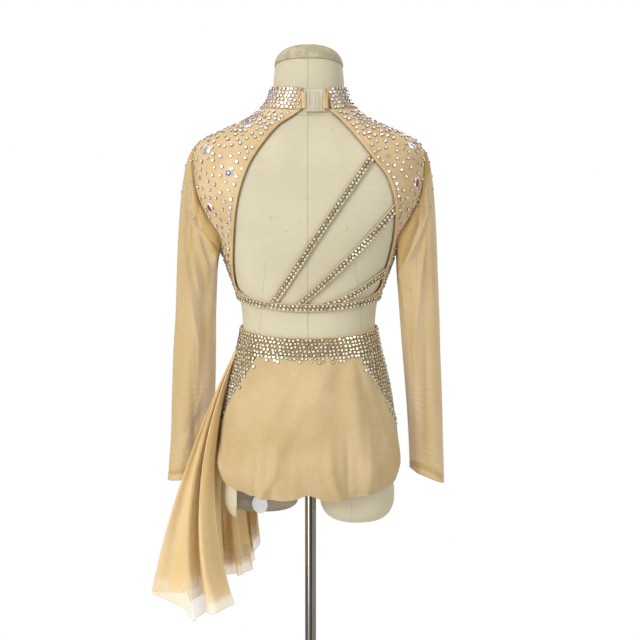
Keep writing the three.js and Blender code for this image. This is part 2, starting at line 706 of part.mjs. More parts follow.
// The moulded clasp at the nape: an eye plate and a hook plate, each on a loop of cloth
function addClasp() {
  const clasp = new THREE.Group();
  clasp.position.set(-9.4, 56.2, 1394.6);
  clasp.rotation.set(5.5 * degree, 0, 6.7 * degree);
  costume.add(clasp);

  const plate = (left, right, slotLeft, slotRight, height) => {
    const shape = new THREE.Shape();
    shape.moveTo(left, -height / 2);
    shape.lineTo(right, -height / 2);
    shape.lineTo(right, height / 2);
    shape.lineTo(left, height / 2);
    shape.closePath();
    const slot = new THREE.Path();
    const slotHalf = height / 2 - 2.5;
    slot.moveTo(slotLeft, -slotHalf);
    slot.lineTo(slotLeft, slotHalf);
    slot.lineTo(slotRight, slotHalf);
    slot.lineTo(slotRight, -slotHalf);
    slot.closePath();
    shape.holes.push(slot);
    const geometry = new THREE.ExtrudeGeometry(shape, { depth: 2.2, bevelEnabled: false });
    geometry.rotateX(Math.PI / 2);
    return geometry.translate(0, 1.1, 0);
  };
  addPiece("clasp_eye", plate(-8.6, 17.4, 12.9, 15.2, 35.6), materials.clasp, clasp);
  addPiece("clasp_hook", plate(-17.2, -8.9, -15, -12.7, 34.6), materials.clasp, clasp);

  const loop = (name, near, far) => {
    const reach = Math.abs(far - near) / 2;
    const outline = (radius) => {
      const path = new THREE.Path();
      path.absarc(reach, 0, radius, -Math.PI / 2, Math.PI / 2);
      path.absarc(-reach, 0, radius, Math.PI / 2, (3 * Math.PI) / 2);
      return path.getPoints(5);
    };
    const shape = new THREE.Shape(outline(2.6));
    shape.holes.push(new THREE.Path(outline(1.5).reverse()));
    const geometry = new THREE.ExtrudeGeometry(shape, { depth: 26, bevelEnabled: false });
    geometry.translate((near + far) / 2, 0, -13);
    addPiece(name, geometry, materials.stretch, clasp);
  };
  loop("clasp_loop_left", 15.8, 17.6);
  loop("clasp_loop_right", -15.6, -19.8);
}

// A band round the whole figure, between two levels
function addBand(name, top, height, rows, thickness) {
  const pointAt = (u, v, lift) => figurePoint(u * 2 * Math.PI, top - height * (1 - v), lift);
  const across = steps(44).slice(0, -1);
  const wall = { pointAt, across, down: steps(rows), inner: 0, outer: thickness, closed: true };
  addPiece(name, wallGeometry(wall), materials.stretch);
}

// The slanting back straps, cut to end just inside the opening's edge and above the band
function addStraps() {
  const bottom = bandTop + seamGap;
  backStraps.forEach((strap, index) => {
    const route = new THREE.QuadraticBezierCurve(
      new THREE.Vector2(strap.endX, bottom),
      new THREE.Vector2(
        2 * strap.middleX - (strap.endX + strap.topX) / 2,
        2 * strap.middleLevel - (bottom + strap.topLevel) / 2,
      ),
      new THREE.Vector2(strap.topX, strap.topLevel),
    );
    // A point beside the route, which goes straight on past its two ends
    const beside = (side, t) => {
      const held = Math.min(Math.max(t, 0), 1);
      const way = route.getTangent(held);
      const at = route.getPoint(held).addScaledVector(way, (t - held) * route.getLength());
      return new THREE.Vector2(at.x - way.y * side, at.y + way.x * side);
    };
    const crossing = (side, low, high, isPast) => {
      let [near, far] = [low, high];
      for (let k = 0; k < 30; k++) {
        const t = (near + far) / 2;
        if (isPast(beside(side, t))) far = t;
        else near = t;
      }
      return (near + far) / 2;
    };
    const pastBand = (p) => p.y > bottom;
    const pastEdge = (p) => p.x < 0.5 - readTable(openingRight, "level", "across", p.y);
    const edges = [-strapHalfWidth, strapHalfWidth].map((side) => ({
      side,
      start: crossing(side, -0.15, 0.35, pastBand),
      end: crossing(side, 0.6, 1.15, pastEdge),
    }));
    const edgePoint = ({ side, start, end }, v) => beside(side, start + (end - start) * v);
    const pointAt = (u, v, lift) => {
      const p = edgePoint(edges[0], v).lerp(edgePoint(edges[1], v), u);
      return figurePoint(angleAtBack(p.x, p.y), p.y, lift);
    };
    const rows = index === 2 ? 8 : 12;
    const wall = { pointAt, across: [0, 0.5, 1], down: steps(rows), inner: 0.2, outer: 1.6 };
    addPiece("back_strap_" + (index + 1), wallGeometry(wall), materials.stretch);
  });
}

// A sheer sleeve: from the armhole seam over the shoulder's end, then down in ovals
function addSleeve(side) {
  const sign = side === "left" ? 1 : -1;
  const rings = sleeveRings[side];
  const folds = sleeveFolds[side];
  const top = rings.at(-1).level;
  const cuff = rings[0].level;
  const capShare = 0.3;
  const ringPoint = (level, turn) => {
    const column = (name) => readTable(rings, "level", name, level);
    const fold = foldHeight(folds, level, turn / degree);
    const slant = cuffSlant[side] * Math.max(0, 1 - (level - cuff) / 60);
    return new THREE.Vector3(
      column("across") + (column("half") + fold) * Math.cos(turn),
      column("forward") - (column("depth") + fold) * Math.sin(turn),
      level - slant * Math.cos(turn),
    );
  };
  const seamPoint = (turn) => {
    const low = (1 - Math.cos(turn)) / 2;
    const level = armholeMiddle + armholeReach * Math.cos(turn) - 1.6 + 6.2 * low;
    const open = armholeAngle(level);
    const inset = angleFor(1.4 + 2 * low, open, level);
    return figurePoint(-Math.sign(Math.sin(turn)) * Math.max(open - inset, 0), level, 0.8);
  };
  const capPoint = (t, turn) => {
    const a = seamPoint(turn);
    const c = ringPoint(top, turn);
    const b = new THREE.Vector3(a.x + 0.75 * (c.x - a.x), a.y + 0.6 * (c.y - a.y), a.z);
    const p = new THREE.Vector3();
    p.addScaledVector(a, (1 - t) ** 2);
    p.addScaledVector(b, 2 * t * (1 - t));
    p.addScaledVector(c, t * t);
    const fold = foldHeight(folds, p.z, turn / degree) * Math.min(1, 3 * t);
    const lift = fold - t * t * foldHeight(folds, top, turn / degree);
    p.x += lift * Math.cos(turn);
    p.y -= lift * Math.sin(turn);
    return p;
  };
  const sheet = (u, v) => {
    const turn = u * 2 * Math.PI;
    const below = (v - capShare) / (1 - capShare);
    const level = top + (cuff - top) * below;
    const p = below < 0 ? capPoint(v / capShare, turn) : ringPoint(level, turn);
    p.x *= sign;
    return p;
  };
  const down = [0, 0.04, 0.09, 0.14, 0.19, 0.245, 0.3, 0.38, 0.46, 0.54, 0.62, 0.7, 0.78, 0.86];
  down.push(0.93, 1);
  const half = sheerWall / 2;
  const across = steps(2 * armholeSteps).slice(0, -1);
  const wall = { pointAt: lifted(sheet), across, down, inner: -half, outer: half, closed: true };
  addPiece("sleeve_" + side, wallGeometry(wall), materials.sheer);
}

const seatTop = waistTop - waistbandHeight - 0.45;
const sideAngle = (level) => readTable(sidePieceSpread, "level", "spread", level) * degree;

// The stone-covered side pieces: widest at the waist, and a point at the hip
function addSidePieces() {
  const levels = steps(5).map((share) => hipPoint + 1 + (seatTop - hipPoint - 1) * share);
  const middles = [["side_piece_left", 0], ["side_piece_right", Math.PI]];
  for (const [name, middle] of middles) {
    addFigurePanel({
      name,
      levels,
      columns: columnNumbers(0, 8),
      anglesAt: (level) =>
        anglesBetween(middle - sideAngle(level), middle + sideAngle(level), 8, level),
    });
  }
}

// One bubble panel of the shorts as a sheet. v is 1 at the waist seam, hemShare where the
// panel turns under, and 0 at its hidden edge.
const hemShare = 0.14;
function bubbleSheet(facing, folds) {
  const depthColumn = facing > 0 ? "back" : "front";
  const hem = hemLine[0].level;
  const lowest = 740;
  const skin = (angle, level) => {
    const table = level < 905 ? hangingSections : figure;
    const half = readTable(table, "level", "half", level);
    const depth = readTable(table, "level", depthColumn, level);
    const [x, y] = ovalPoint(half, depth, angle);
    const drop = Math.min(level - hem, 0);
    return new THREE.Vector3(x, y, ringHeight(Math.max(level, hem), angle) + drop);
  };
  return (u, v) => {
    const above = Math.max((v - hemShare) / (1 - hemShare), 0) * 2;
    const upper = hipPoint + (seatTop - hipPoint) * (above - 1);
    const plain = above > 1 ? upper : lowest + (hipPoint - lowest) * above;
    const edge = sideAngle(plain) * Math.min(1, Math.max(0, 1 + (plain - hipPoint) / 14));
    const seam = edge + angleFor(seamGap / 2, edge, Math.max(plain, 800)) + 0.001;
    const within = seam + (Math.PI - 2 * seam) * u;
    const angle = facing > 0 ? within : within - Math.PI;
    const fromSide = Math.min(within, Math.PI - within) / degree;
    const hemAt = (column) => readTable(hemLine, "turn", column, fromSide);
    const drop = Math.max(0, (hipPoint - plain) / (hipPoint - lowest));
    const level = plain + drop * drop * (hemAt("level") - lowest);
    const middle = readTable(bubbleStand, "level", "middle", plain);
    const side = readTable(bubbleStand, "level", "side", plain);
    const held = Math.exp(-((fromSide / 11) ** 2));
    const settle = Math.min(1, (seatTop - plain) / 40) * (1 - Math.exp(-((fromSide / 7) ** 2)));
    const fold = foldHeight(folds, plain, angle / degree) * settle;
    const stand = Math.max(middle + (side - middle) * held + fold, -0.3);
    const p = skin(angle, level);
    p.addScaledVector(normalOf(skin, angle, level, 0.02, 2), stand);
    const turned = Math.max(0, 1 - v / hemShare);
    const tuck = hemAt("tuck");
    const swing = turned * Math.PI * 0.62;
    const inwards = (tuck * (1 - Math.cos(swing))) / (1 - Math.cos(Math.PI * 0.62));
    p.addScaledVector(new THREE.Vector3(p.x, p.y, 0).normalize(), -inwards);
    p.z += 0.45 * tuck * turned ** 2 - 0.35 * tuck * Math.sin(swing) - (14 - tuck) * 0.45 * turned;
    return p;
  };
}

function addBubble(name, sheet, columns) {
  const upper = steps(5).map((share) => 1 - 0.43 * share);
  const down = [...upper, 0.49, 0.41, 0.33, 0.26, 0.2, hemShare, 0.07, 0];
  const pointAt = lifted(sheet, 0.004, 0.004);
  const wall = { pointAt, across: steps(columns), down, inner: 0, outer: clothWall };
  addPiece(name, wallGeometry(wall), materials.chiffon);
}

// The side drape, skinned over its ridges and valleys
function addDrape() {
  const columnsPerFold = 4;
  const count = drapeFolds.length - 1;
  const foldLine = (fold, v) => {
    const top = figurePoint(fold.topTurn * degree, drapeTop - Math.abs(fold.topTurn) * 0.35, 2.4);
    const mid = new THREE.Vector3(fold.midX, fold.midY, drapeMid);
    const hem = new THREE.Vector3(fold.hemX, fold.hemY, fold.hemZ);
    const drop = (top.z - mid.z) / (top.z - hem.z);
    const bend = mid.addScaledVector(top, -((1 - drop) ** 2)).addScaledVector(hem, -(drop ** 2));
    bend.multiplyScalar(1 / (2 * drop * (1 - drop)));
    const p = new THREE.Vector3();
    p.addScaledVector(top, (1 - v) ** 2);
    p.addScaledVector(bend, 2 * v * (1 - v));
    return p.addScaledVector(hem, v * v);
  };
  const sheet = (u, v) => {
    const place = Math.min(Math.max(u, 0), 1) * count;
    const i = Math.min(Math.floor(place), count - 1);
    const t = place - i;
    const ease = 0.35 * t + 0.65 * ((1 - Math.cos(Math.PI * t)) / 2);
    return foldLine(drapeFolds[i], v).lerp(foldLine(drapeFolds[i + 1], v), ease);
  };
  const half = sheerWall / 2;
  const across = steps(count * columnsPerFold);
  const wall = { pointAt: lifted(sheet), across, down: steps(8), inner: -half, outer: half };
  addPiece("side_drape", wallGeometry(wall), materials.sheer);
}

// The gusset runs between the legs beside the pole, from hem edge to hem edge
function addGusset(backSheet, frontSheet) {
  const route = [
    { share: 0, y: 0, z: 0, left: 17, right: 9 },
    { share: 0.2, y: 58, z: 757, left: 17, right: 9 },
    { share: 0.4, y: 24, z: 763, left: 15.8, right: 9 },
    { share: 0.6, y: -16, z: 763, left: 15.8, right: 9 },
    { share: 0.8, y: -48, z: 757, left: 17, right: 9 },
    { share: 1, y: 0, z: 0, left: 17, right: 9 },
  ];
  const backEdge = backSheet(0.47, 0);
  const frontEdge = frontSheet(0.53, 0);
  Object.assign(route[0], { y: backEdge.y - 0.7, z: backEdge.z });
  Object.assign(route.at(-1), { y: frontEdge.y + 1.5, z: frontEdge.z });
  const sheet = (u, v) => {
    const at = (column) => readTable(route, "share", column, 1 - v);
    const left = at("left");
    const right = at("right");
    return new THREE.Vector3(right + (left - right) * u, at("y"), at("z"));
  };
  const down = steps(14);
  const pointAt = (u, v, lift) => sheet(u, v).add(new THREE.Vector3(0, 0, lift));
  const wall = { pointAt, across: steps(2), down, inner: 0, outer: clothWall };
  addPiece("gusset", wallGeometry(wall), materials.stretch);
}

addForm();
addNeckCap();
addStand();
addBodice();
addCollar();
addClasp();
addBand("underbust_band", bandTop, bandHeight, 1, 1.8);
addStraps();
addSleeve("left");
addSleeve("right");
addBand("waistband", waistTop, waistbandHeight, 1, 1.9);
addSidePieces();
const backSheet = bubbleSheet(1, bubbleFoldsBack);
const frontSheet = bubbleSheet(-1, bubbleFoldsFront);
addBubble("bubble_back", backSheet, 34);
addBubble("bubble_front", frontSheet, 20);
addGusset(backSheet, frontSheet);
addDrape();

export default costume;
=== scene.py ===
# Looks for a backless dance two-piece on a dress form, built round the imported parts.
# Lengths in the tables are millimetres; meshes are written in metres. Back is +Y, left is +X.
import json
import math

import bpy
import numpy as np
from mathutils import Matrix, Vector
from mathutils.bvhtree import BVHTree

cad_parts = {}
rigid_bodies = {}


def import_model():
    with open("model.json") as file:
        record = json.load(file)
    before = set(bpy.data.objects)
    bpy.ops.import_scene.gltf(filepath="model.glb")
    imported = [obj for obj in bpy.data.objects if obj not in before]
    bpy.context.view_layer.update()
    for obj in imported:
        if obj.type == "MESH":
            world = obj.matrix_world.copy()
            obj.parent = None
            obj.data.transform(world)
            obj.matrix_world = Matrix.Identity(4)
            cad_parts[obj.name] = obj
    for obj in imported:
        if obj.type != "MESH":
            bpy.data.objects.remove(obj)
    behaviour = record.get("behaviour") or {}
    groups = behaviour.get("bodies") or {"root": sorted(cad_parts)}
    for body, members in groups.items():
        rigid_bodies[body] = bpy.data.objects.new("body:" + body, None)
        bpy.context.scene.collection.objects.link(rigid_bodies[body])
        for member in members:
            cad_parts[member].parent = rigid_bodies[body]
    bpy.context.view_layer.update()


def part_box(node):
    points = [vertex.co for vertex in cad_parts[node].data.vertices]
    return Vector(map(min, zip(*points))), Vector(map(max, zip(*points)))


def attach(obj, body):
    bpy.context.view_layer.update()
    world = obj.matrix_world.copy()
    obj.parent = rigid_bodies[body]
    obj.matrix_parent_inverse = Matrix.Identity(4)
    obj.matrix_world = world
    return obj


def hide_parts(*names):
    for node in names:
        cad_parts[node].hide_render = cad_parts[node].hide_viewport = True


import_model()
mm = 0.001
degree = math.pi / 180
print("frame: packed parts are in")


# Colours, nodes and materials
def toLinear(hexColour, alpha=1.0):  # an sRGB hex value as linear light
    parts = [int(hexColour[i : i + 2], 16) / 255 for i in (1, 3, 5)]
    return [p / 12.92 if p <= 0.04045 else ((p + 0.055) / 1.055) ** 2.4 for p in parts] + [alpha]


def addNode(tree, kind, settings=None, links=None):
    node = tree.nodes.new(kind)
    for key, value in (settings or {}).items():
        if isinstance(key, str) and hasattr(node, key):
            setattr(node, key, value)
        else:
            node.inputs[key].default_value = value
    for key, source in (links or {}).items():
        tree.links.new(source, node.inputs[key])
    return node


def feed(tree, node, values):  # links sockets, and sets hex colours and numbers
    for place, value in values.items():
        if isinstance(value, bpy.types.NodeSocket):
            tree.links.new(value, node.inputs[place])
        else:
            asColour = isinstance(value, str)
            node.inputs[place].default_value = toLinear(value) if asColour else value


def newMaterial(name, settings):
    material = bpy.data.materials.new(name)
    material.use_nodes = True
    tree = material.node_tree
    tree.nodes.clear()
    shader = addNode(tree, "ShaderNodeBsdfPrincipled", settings)
    addNode(tree, "ShaderNodeOutputMaterial", None, {"Surface": shader.outputs[0]})
    return material, tree, shader


def mixColours(tree, factor, first, second):
    node = addNode(tree, "ShaderNodeMix", {"data_type": "RGBA"})
    feed(tree, node, {0: factor, 6: first, 7: second})
    return node.outputs[2]


def asMath(tree, operation, *values):
    node = addNode(tree, "ShaderNodeMath", {"operation": operation})
    feed(tree, node, dict(enumerate(values)))
    return node.outputs[0]


def times(tree, first, second):
    return asMath(tree, "MULTIPLY", first, second)


def plus(tree, first, second):
    return asMath(tree, "ADD", first, second)


def timesPlus(tree, value, factor, extra):
    return asMath(tree, "MULTIPLY_ADD", value, factor, extra)


def storedValue(tree, name):  # a value that the mesh carries
    return addNode(tree, "ShaderNodeAttribute", {"attribute_name": name}).outputs["Fac"]


def ramp(tree, value, low, high, start=0.0, end=1.0):  # a smooth step between two values
    settings = {"interpolation_type": "SMOOTHSTEP", 1: low, 2: high, 3: start, 4: end}
    return addNode(tree, "ShaderNodeMapRange", settings, {0: value}).outputs[0]


def addBump(tree, shader, height, distance, strength):
    settings = {"Strength": strength, "Distance": distance}
    bump = addNode(tree, "ShaderNodeBump", settings, {"Height": height})
    tree.links.new(bump.outputs[0], shader.inputs["Normal"])


def clothTexture(tree, threads):  # crossing threads in the cloth's own UV, threads to a metre
    place = addNode(tree, "ShaderNodeUVMap", {"uv_map": "UVMap"}).outputs[0]
    parts = addNode(tree, "ShaderNodeSeparateXYZ", None, {0: place}).outputs
    waves = [asMath(tree, "SINE", times(tree, parts[i], threads[i] * 2 * math.pi)) for i in (0, 1)]
    return place, [timesPlus(tree, wave, 0.5, 0.5) for wave in waves]


def noiseAt(tree, place, scale, detail=2.0, stretch=(1, 1, 1)):
    moved = addNode(tree, "ShaderNodeMapping", {"Scale": stretch}, {"Vector": place}).outputs[0]
    settings = {"Scale": scale, "Detail": detail, "Roughness": 0.55}
    return addNode(tree, "ShaderNodeTexNoise", settings, {"Vector": moved}).outputs[0]


def objectPlace(tree):
    return addNode(tree, "ShaderNodeTexCoord").outputs["Object"]


# Warp-knit nylon and elastane, dull side out: fine wales, a soft sheen, even nude dye
knit = {
    # The stone-covered strips' knit colours are painted darker: painted shade that the stones cast
    # between them
    "light": "#d4bb90", "deep": "#c8ab7d", "stoneShadedLight": "#a98e62", "stoneShadedDeep": "#8f764c",
    "wales": (420, 520), "cloud": 22, "waleShade": 0.16, "bump": 0.00012,
    "shader": {
        "Roughness": 0.62, "IOR": 1.5, "Specular IOR Level": 0.3, "Sheen Weight": 0.12,
        "Sheen Roughness": 0.4,
    },
}


# Away from a strip's bare edges the stone-covered knit is painted darker, a painted shade between
# the stones
def makeKnit(name, light, deep, plain=None):  # plain is the tint of a strip's bare edges
    material, tree, shader = newMaterial(name, knit["shader"])
    lines = clothTexture(tree, knit["wales"])[1]
    cloud = ramp(tree, noiseAt(tree, objectPlace(tree), knit["cloud"], 3), 0.35, 0.68)
    tint = mixColours(tree, cloud, light, deep)
    if plain:
        tint = mixColours(tree, storedValue(tree, "plain"), tint, plain)
    wales = mixColours(tree, times(tree, lines[0], knit["waleShade"]), tint, deep)
    tree.links.new(wales, shader.inputs["Base Color"])
    addBump(tree, shader, plus(tree, *lines), knit["bump"], 0.5)
    return material


# Crinkled polyester chiffon over the knit: matte, with a fine upright crepe grain
crepe = {
    "light": "#cbb389", "deep": "#bca275", "grain": "#ae9464", "threads": (650, 380),
    "grainScale": 190, "grainStretch": (3.2, 0.55, 1), "grainShade": 0.3, "cloud": 9,
    "bump": 0.00018,
    "shader": {
        "Roughness": 0.8, "IOR": 1.5, "Specular IOR Level": 0.22, "Sheen Weight": 0.15,
        "Sheen Roughness": 0.5,
    },
}


def makeCrepe():
    material, tree, shader = newMaterial("crepeChiffon", crepe["shader"])
    place, lines = clothTexture(tree, crepe["threads"])
    grain = noiseAt(tree, place, crepe["grainScale"], 3, crepe["grainStretch"])
    cloud = ramp(tree, noiseAt(tree, objectPlace(tree), crepe["cloud"], 3), 0.3, 0.7)
    tint = mixColours(tree, cloud, crepe["light"], crepe["deep"])
    shade = times(tree, ramp(tree, grain, 0.4, 0.72), crepe["grainShade"])
    grained = mixColours(tree, shade, tint, crepe["grain"])
    tree.links.new(grained, shader.inputs["Base Color"])
    addBump(tree, shader, plus(tree, lines[0], grain), crepe["bump"], 0.55)
    return material


# Power mesh of the sleeves: an open knit of 0.9 mm holes, drawn as a fine even veil with the
# soft bands that two layers of it show. Tulle is the same with less thread. Hems are in mm.
sheers = {
    "mesh": {
        # Where the cloth lies double or gathered its colour is painted darker, a painted shade
        "thread": "#d3b371", "shade": "#bf9d58", "doubledAndShaded": "#94733c", "edge": "#cdae76",
        "cover": 0.65, "hemCover": 0.9, "hemWidth": 10.0, "bands": 0.03, "sheen": 0.1,
        "holes": (1100, 1100),
    },
    "tulle": {
        "thread": "#f0d69f", "shade": "#e2c288", "doubledAndShaded": "#dcb97f", "edge": "#cfba8c",
        "cover": 0.5, "hemCover": 0.6, "hemWidth": 1.4, "bands": 0.0, "sheen": 0.3,
        "holes": (800, 800),
    },
}
veil = {
    "shader": {"Roughness": 0.72, "IOR": 1.45, "Specular IOR Level": 0.2},
    "cloud": 24, "cloudCover": 0.1, "holeCover": -0.06, "bandPitch": 560.0, "bandBend": 0.09,
    "bump": 0.0001,
}


def makeSheer(name, look):
    settings = {**veil["shader"], "Sheen Weight": look["sheen"]}
    material, tree, shader = newMaterial(name, settings)
    place, lines = clothTexture(tree, look["holes"])
    weave = times(tree, *lines)
    cloud = noiseAt(tree, place, veil["cloud"], 3, (1, 0.3, 1))
    hem = look["hemWidth"]
    inHem = ramp(tree, storedValue(tree, "fromHem"), hem, hem * 1.15, 1, 0)
    tint = mixColours(tree, ramp(tree, cloud, 0.35, 0.7, 0, 0.6), look["thread"], look["shade"])
    gather = storedValue(tree, "gather")
    # cloth lying double or gathered is painted darker too: painted shade
    tint = mixColours(tree, ramp(tree, gather, 0.1, 0.45, 0, 0.55), tint, look["doubledAndShaded"])
    tree.links.new(mixColours(tree, inHem, tint, look["edge"]), shader.inputs["Base Color"])
    down = addNode(tree, "ShaderNodeSeparateXYZ", None, {0: place}).outputs[1]
    bend = timesPlus(tree, noiseAt(tree, place, 9, 1), veil["bandBend"], down)
    bands = asMath(tree, "SINE", times(tree, bend, veil["bandPitch"]))
    patches = ramp(tree, noiseAt(tree, place, 7, 1), 0.5, 0.62, 0, look["bands"])
    clouded = ramp(tree, cloud, 0.3, 0.7, -0.5, 0.5)
    cover = timesPlus(tree, clouded, veil["cloudCover"], look["cover"])
    cover = timesPlus(tree, weave, veil["holeCover"], cover)
    cover = plus(tree, plus(tree, cover, times(tree, bands, patches)), gather)
    extra = times(tree, inHem, asMath(tree, "SUBTRACT", look["hemCover"], cover))
    tree.links.new(plus(tree, cover, extra), shader.inputs["Alpha"])
    addBump(tree, shader, weave, veil["bump"], 0.3)
    return material


# Ecru linen cover of the form: plain weave with slubs, seams pressed open, a little soiled
linen = {
    "light": "#cfc7ac", "deep": "#c5bca0", "soil": "#b9ae90", "spot": "#a39877",
    "crease": "#8f8465", "threads": (700, 700), "slubs": 160, "slubStretch": (0.35, 2.6, 1),
    "seams": {"backSeam": 0.6, "princessSeam": 0.3, "neckSeam": 0.5, "sideSeam": 0.3},
    "seamFar": 9.0, "seamDepth": -7.0, "bump": 0.00015,
    "shader": {"Roughness": 0.86, "IOR": 1.5, "Specular IOR Level": 0.2},
}


def makeLinen():
    material, tree, shader = newMaterial("linenCover", linen["shader"])
    place, lines = clothTexture(tree, linen["threads"])
    slubs = noiseAt(tree, place, linen["slubs"], 4, linen["slubStretch"])
    slubs = ramp(tree, slubs, 0.52, 0.74)
    cloud = ramp(tree, noiseAt(tree, objectPlace(tree), 7, 4), 0.3, 0.72)
    spots = ramp(tree, noiseAt(tree, objectPlace(tree), 60, 2), 0.7, 0.78)
    tint = mixColours(tree, cloud, linen["light"], linen["deep"])
    tint = mixColours(tree, times(tree, slubs, 0.35), tint, linen["soil"])
    tint = mixColours(tree, times(tree, spots, 0.3), tint, linen["spot"])
    nearest, line = linen["seamFar"], 0.0
    for name, strength in linen["seams"].items():
        near = asMath(tree, "ABSOLUTE", storedValue(tree, name))
        nearest = asMath(tree, "MINIMUM", near, nearest)
        line = asMath(tree, "MAXIMUM", ramp(tree, near, 0.25, 0.95, strength, 0), line)
    pucker = times(tree, ramp(tree, nearest, 1.2, 6, 1, 0), slubs)
    worn = ramp(tree, noiseAt(tree, objectPlace(tree), 85, 2), 0.3, 0.6, 0.45, 1)
    tint = mixColours(tree, times(tree, line, worn), tint, linen["crease"])
    tree.links.new(tint, shader.inputs["Base Color"])
    height = timesPlus(tree, slubs, 0.8, plus(tree, *lines))
    height = timesPlus(tree, line, linen["seamDepth"], height)
    addBump(tree, shader, plus(tree, height, pucker), linen["bump"], 0.6)
    return material


# Foil-backed glass stones: each facet is painted light or dark, a painted reflection, and the flat
# top is painted bright, a painted highlight, with a faint oil-film tint
stoneLooks = {
    # Each look's colours: painted shade, middle, painted highlight and film tint
    "clear": ("#463b30", "#9c9286", "#f8f3ec", "#b5a4b6"),
    "golden": ("#3c331e", "#a19370", "#fbf6e4", "#a2b284"),
    "shader": {
        "Metallic": 0.3, "Roughness": 0.12, "IOR": 1.55, "Coat Weight": 0.5,
        "Coat Roughness": 0.03,
    },
    "facetPaintedLight": 0.5, "tablePaintedHighlight": 0.42, "filmShare": 0.6,
}


def makeStoneMaterial(name, dark, middle, paintedHighlight, film):
    material, tree, shader = newMaterial(name, stoneLooks["shader"])
    facet, spin, table = (storedValue(tree, stored) for stored in ("facet", "stone", "table"))
    # The table facet gets a painted highlight; the other facets' painted reflections are drawn at
    # random, from painted shade up
    tablePaintedHighlight = times(tree, table, stoneLooks["tablePaintedHighlight"])
    light = timesPlus(tree, facet, stoneLooks["facetPaintedLight"], tablePaintedHighlight)
    low = mixColours(tree, ramp(tree, light, 0.1, 0.34), dark, middle)
    tint = mixColours(tree, ramp(tree, light, 0.36, 0.6), low, paintedHighlight)
    filmed = times(tree, ramp(tree, spin, 0.45, 0.85), ramp(tree, facet, 0.7, 0.35))
    tint = mixColours(tree, times(tree, filmed, stoneLooks["filmShare"]), tint, film)
    tree.links.new(tint, shader.inputs["Base Color"])
    return material


# Plain finishes
def makePlain(name, base, second, scale, settings, bump=0.0, stretch=(1, 1, 1)):
    material, tree, shader = newMaterial(name, settings)
    grain = noiseAt(tree, objectPlace(tree), scale, 3, stretch)
    tint = mixColours(tree, ramp(tree, grain, 0.3, 0.7), base, second)
    tree.links.new(tint, shader.inputs["Base Color"])
    if bump:
        addBump(tree, shader, grain, bump, 0.5)
    return material


looks = {
    "knit": makeKnit("nudeKnit", knit["light"], knit["deep"]),
    "binding": makeKnit("nudeBinding", "#d2b78a", "#c2a576"),
    "crepe": makeCrepe(),
    # the knit under the stones, painted darker as painted shade
    "stoneShaded": makeKnit("stoneShadedKnit", knit["stoneShadedLight"], knit["stoneShadedDeep"], knit["light"]),
    "sleeve": makeSheer("powerMesh", sheers["mesh"]),
    "tulle": makeSheer("softTulle", sheers["tulle"]),
    "linen": makeLinen(),
    "clear": makeStoneMaterial("crystalClear", *stoneLooks["clear"]),
    "golden": makeStoneMaterial("crystalGolden", *stoneLooks["golden"]),
    # A dark cord along the opening's inner edge, a painted shadow where the cloth stands off the
    # form; sewing thread, and overlocked seam allowance
    "shadowCord": makePlain("paintedShadowCord", "#8a6c42", "#735835", 300, {"Roughness": 0.8}),
    "thread": makePlain("nudeThread", "#e2cba0", "#c9aa75", 900, {"Roughness": 0.7}),
    "seam": makePlain("seamAllowance", "#b9935c", "#a8834f", 300, {"Roughness": 0.75}),
    # Injection-moulded acetal, half clear
    "clasp": makePlain(
        "mouldedClasp", "#f2ecd8", "#e4dbc2", 40,
        {"Roughness": 0.22, "IOR": 1.48, "Transmission Weight": 0.35, "Alpha": 0.9},
    ),
    # Greyboard behind the linen at the cut thigh, and the moulded tab on it
    "board": makePlain("greyBoard", "#9d927d", "#867c69", 60, {"Roughness": 0.9}, 0.0003),
    "tab": makePlain("whitePlastic", "#f0f0f5", "#e3e4ec", 30, {"Roughness": 0.35}),
    # Dark chrome on drawn tube: fine lengthwise lines
    "chrome": makePlain(
        "darkChrome", "#a39f93", "#b9b5aa", 30,
        {"Metallic": 1.0, "Roughness": 0.07}, 0.00002, (6, 6, 0.15),
    ),
    # Brushed steel plate: lines all one way
    "steel": makePlain(
        "brushedSteel", "#b9bbbd", "#9fa2a5", 45,
        {"Metallic": 1.0, "Roughness": 0.3}, 0.00003, (0.4, 9, 1),
    ),
}
print("materials:", len(looks))


# The figure that the cloth is cut for: level rings, with depths to the front and the back
def namedTable(columns, *rows):
    return {name: np.array([row[i] for row in rows], float) for i, name in enumerate(columns)}


def readTable(table, column, at):  # along a smooth curve through the rows
    key = next(iter(table))
    keys, values = table[key], table[column]
    last = len(keys) - 1
    at = np.clip(np.asarray(at, float), keys[0], keys[-1])
    i = np.clip(np.searchsorted(keys, at, side="right") - 1, 0, last - 1)

    def slopeAt(k):
        low, high = np.maximum(k - 1, 0), np.minimum(k + 1, last)
        return (values[high] - values[low]) / (keys[high] - keys[low])

    span = keys[i + 1] - keys[i]
    t = (at - keys[i]) / span
    rise = values[i + 1] - values[i]
    start, end = slopeAt(i) * span, slopeAt(i + 1) * span
    return values[i] + t * (start + t * (3 * rise - 2 * start - end + t * (start + end - 2 * rise)))


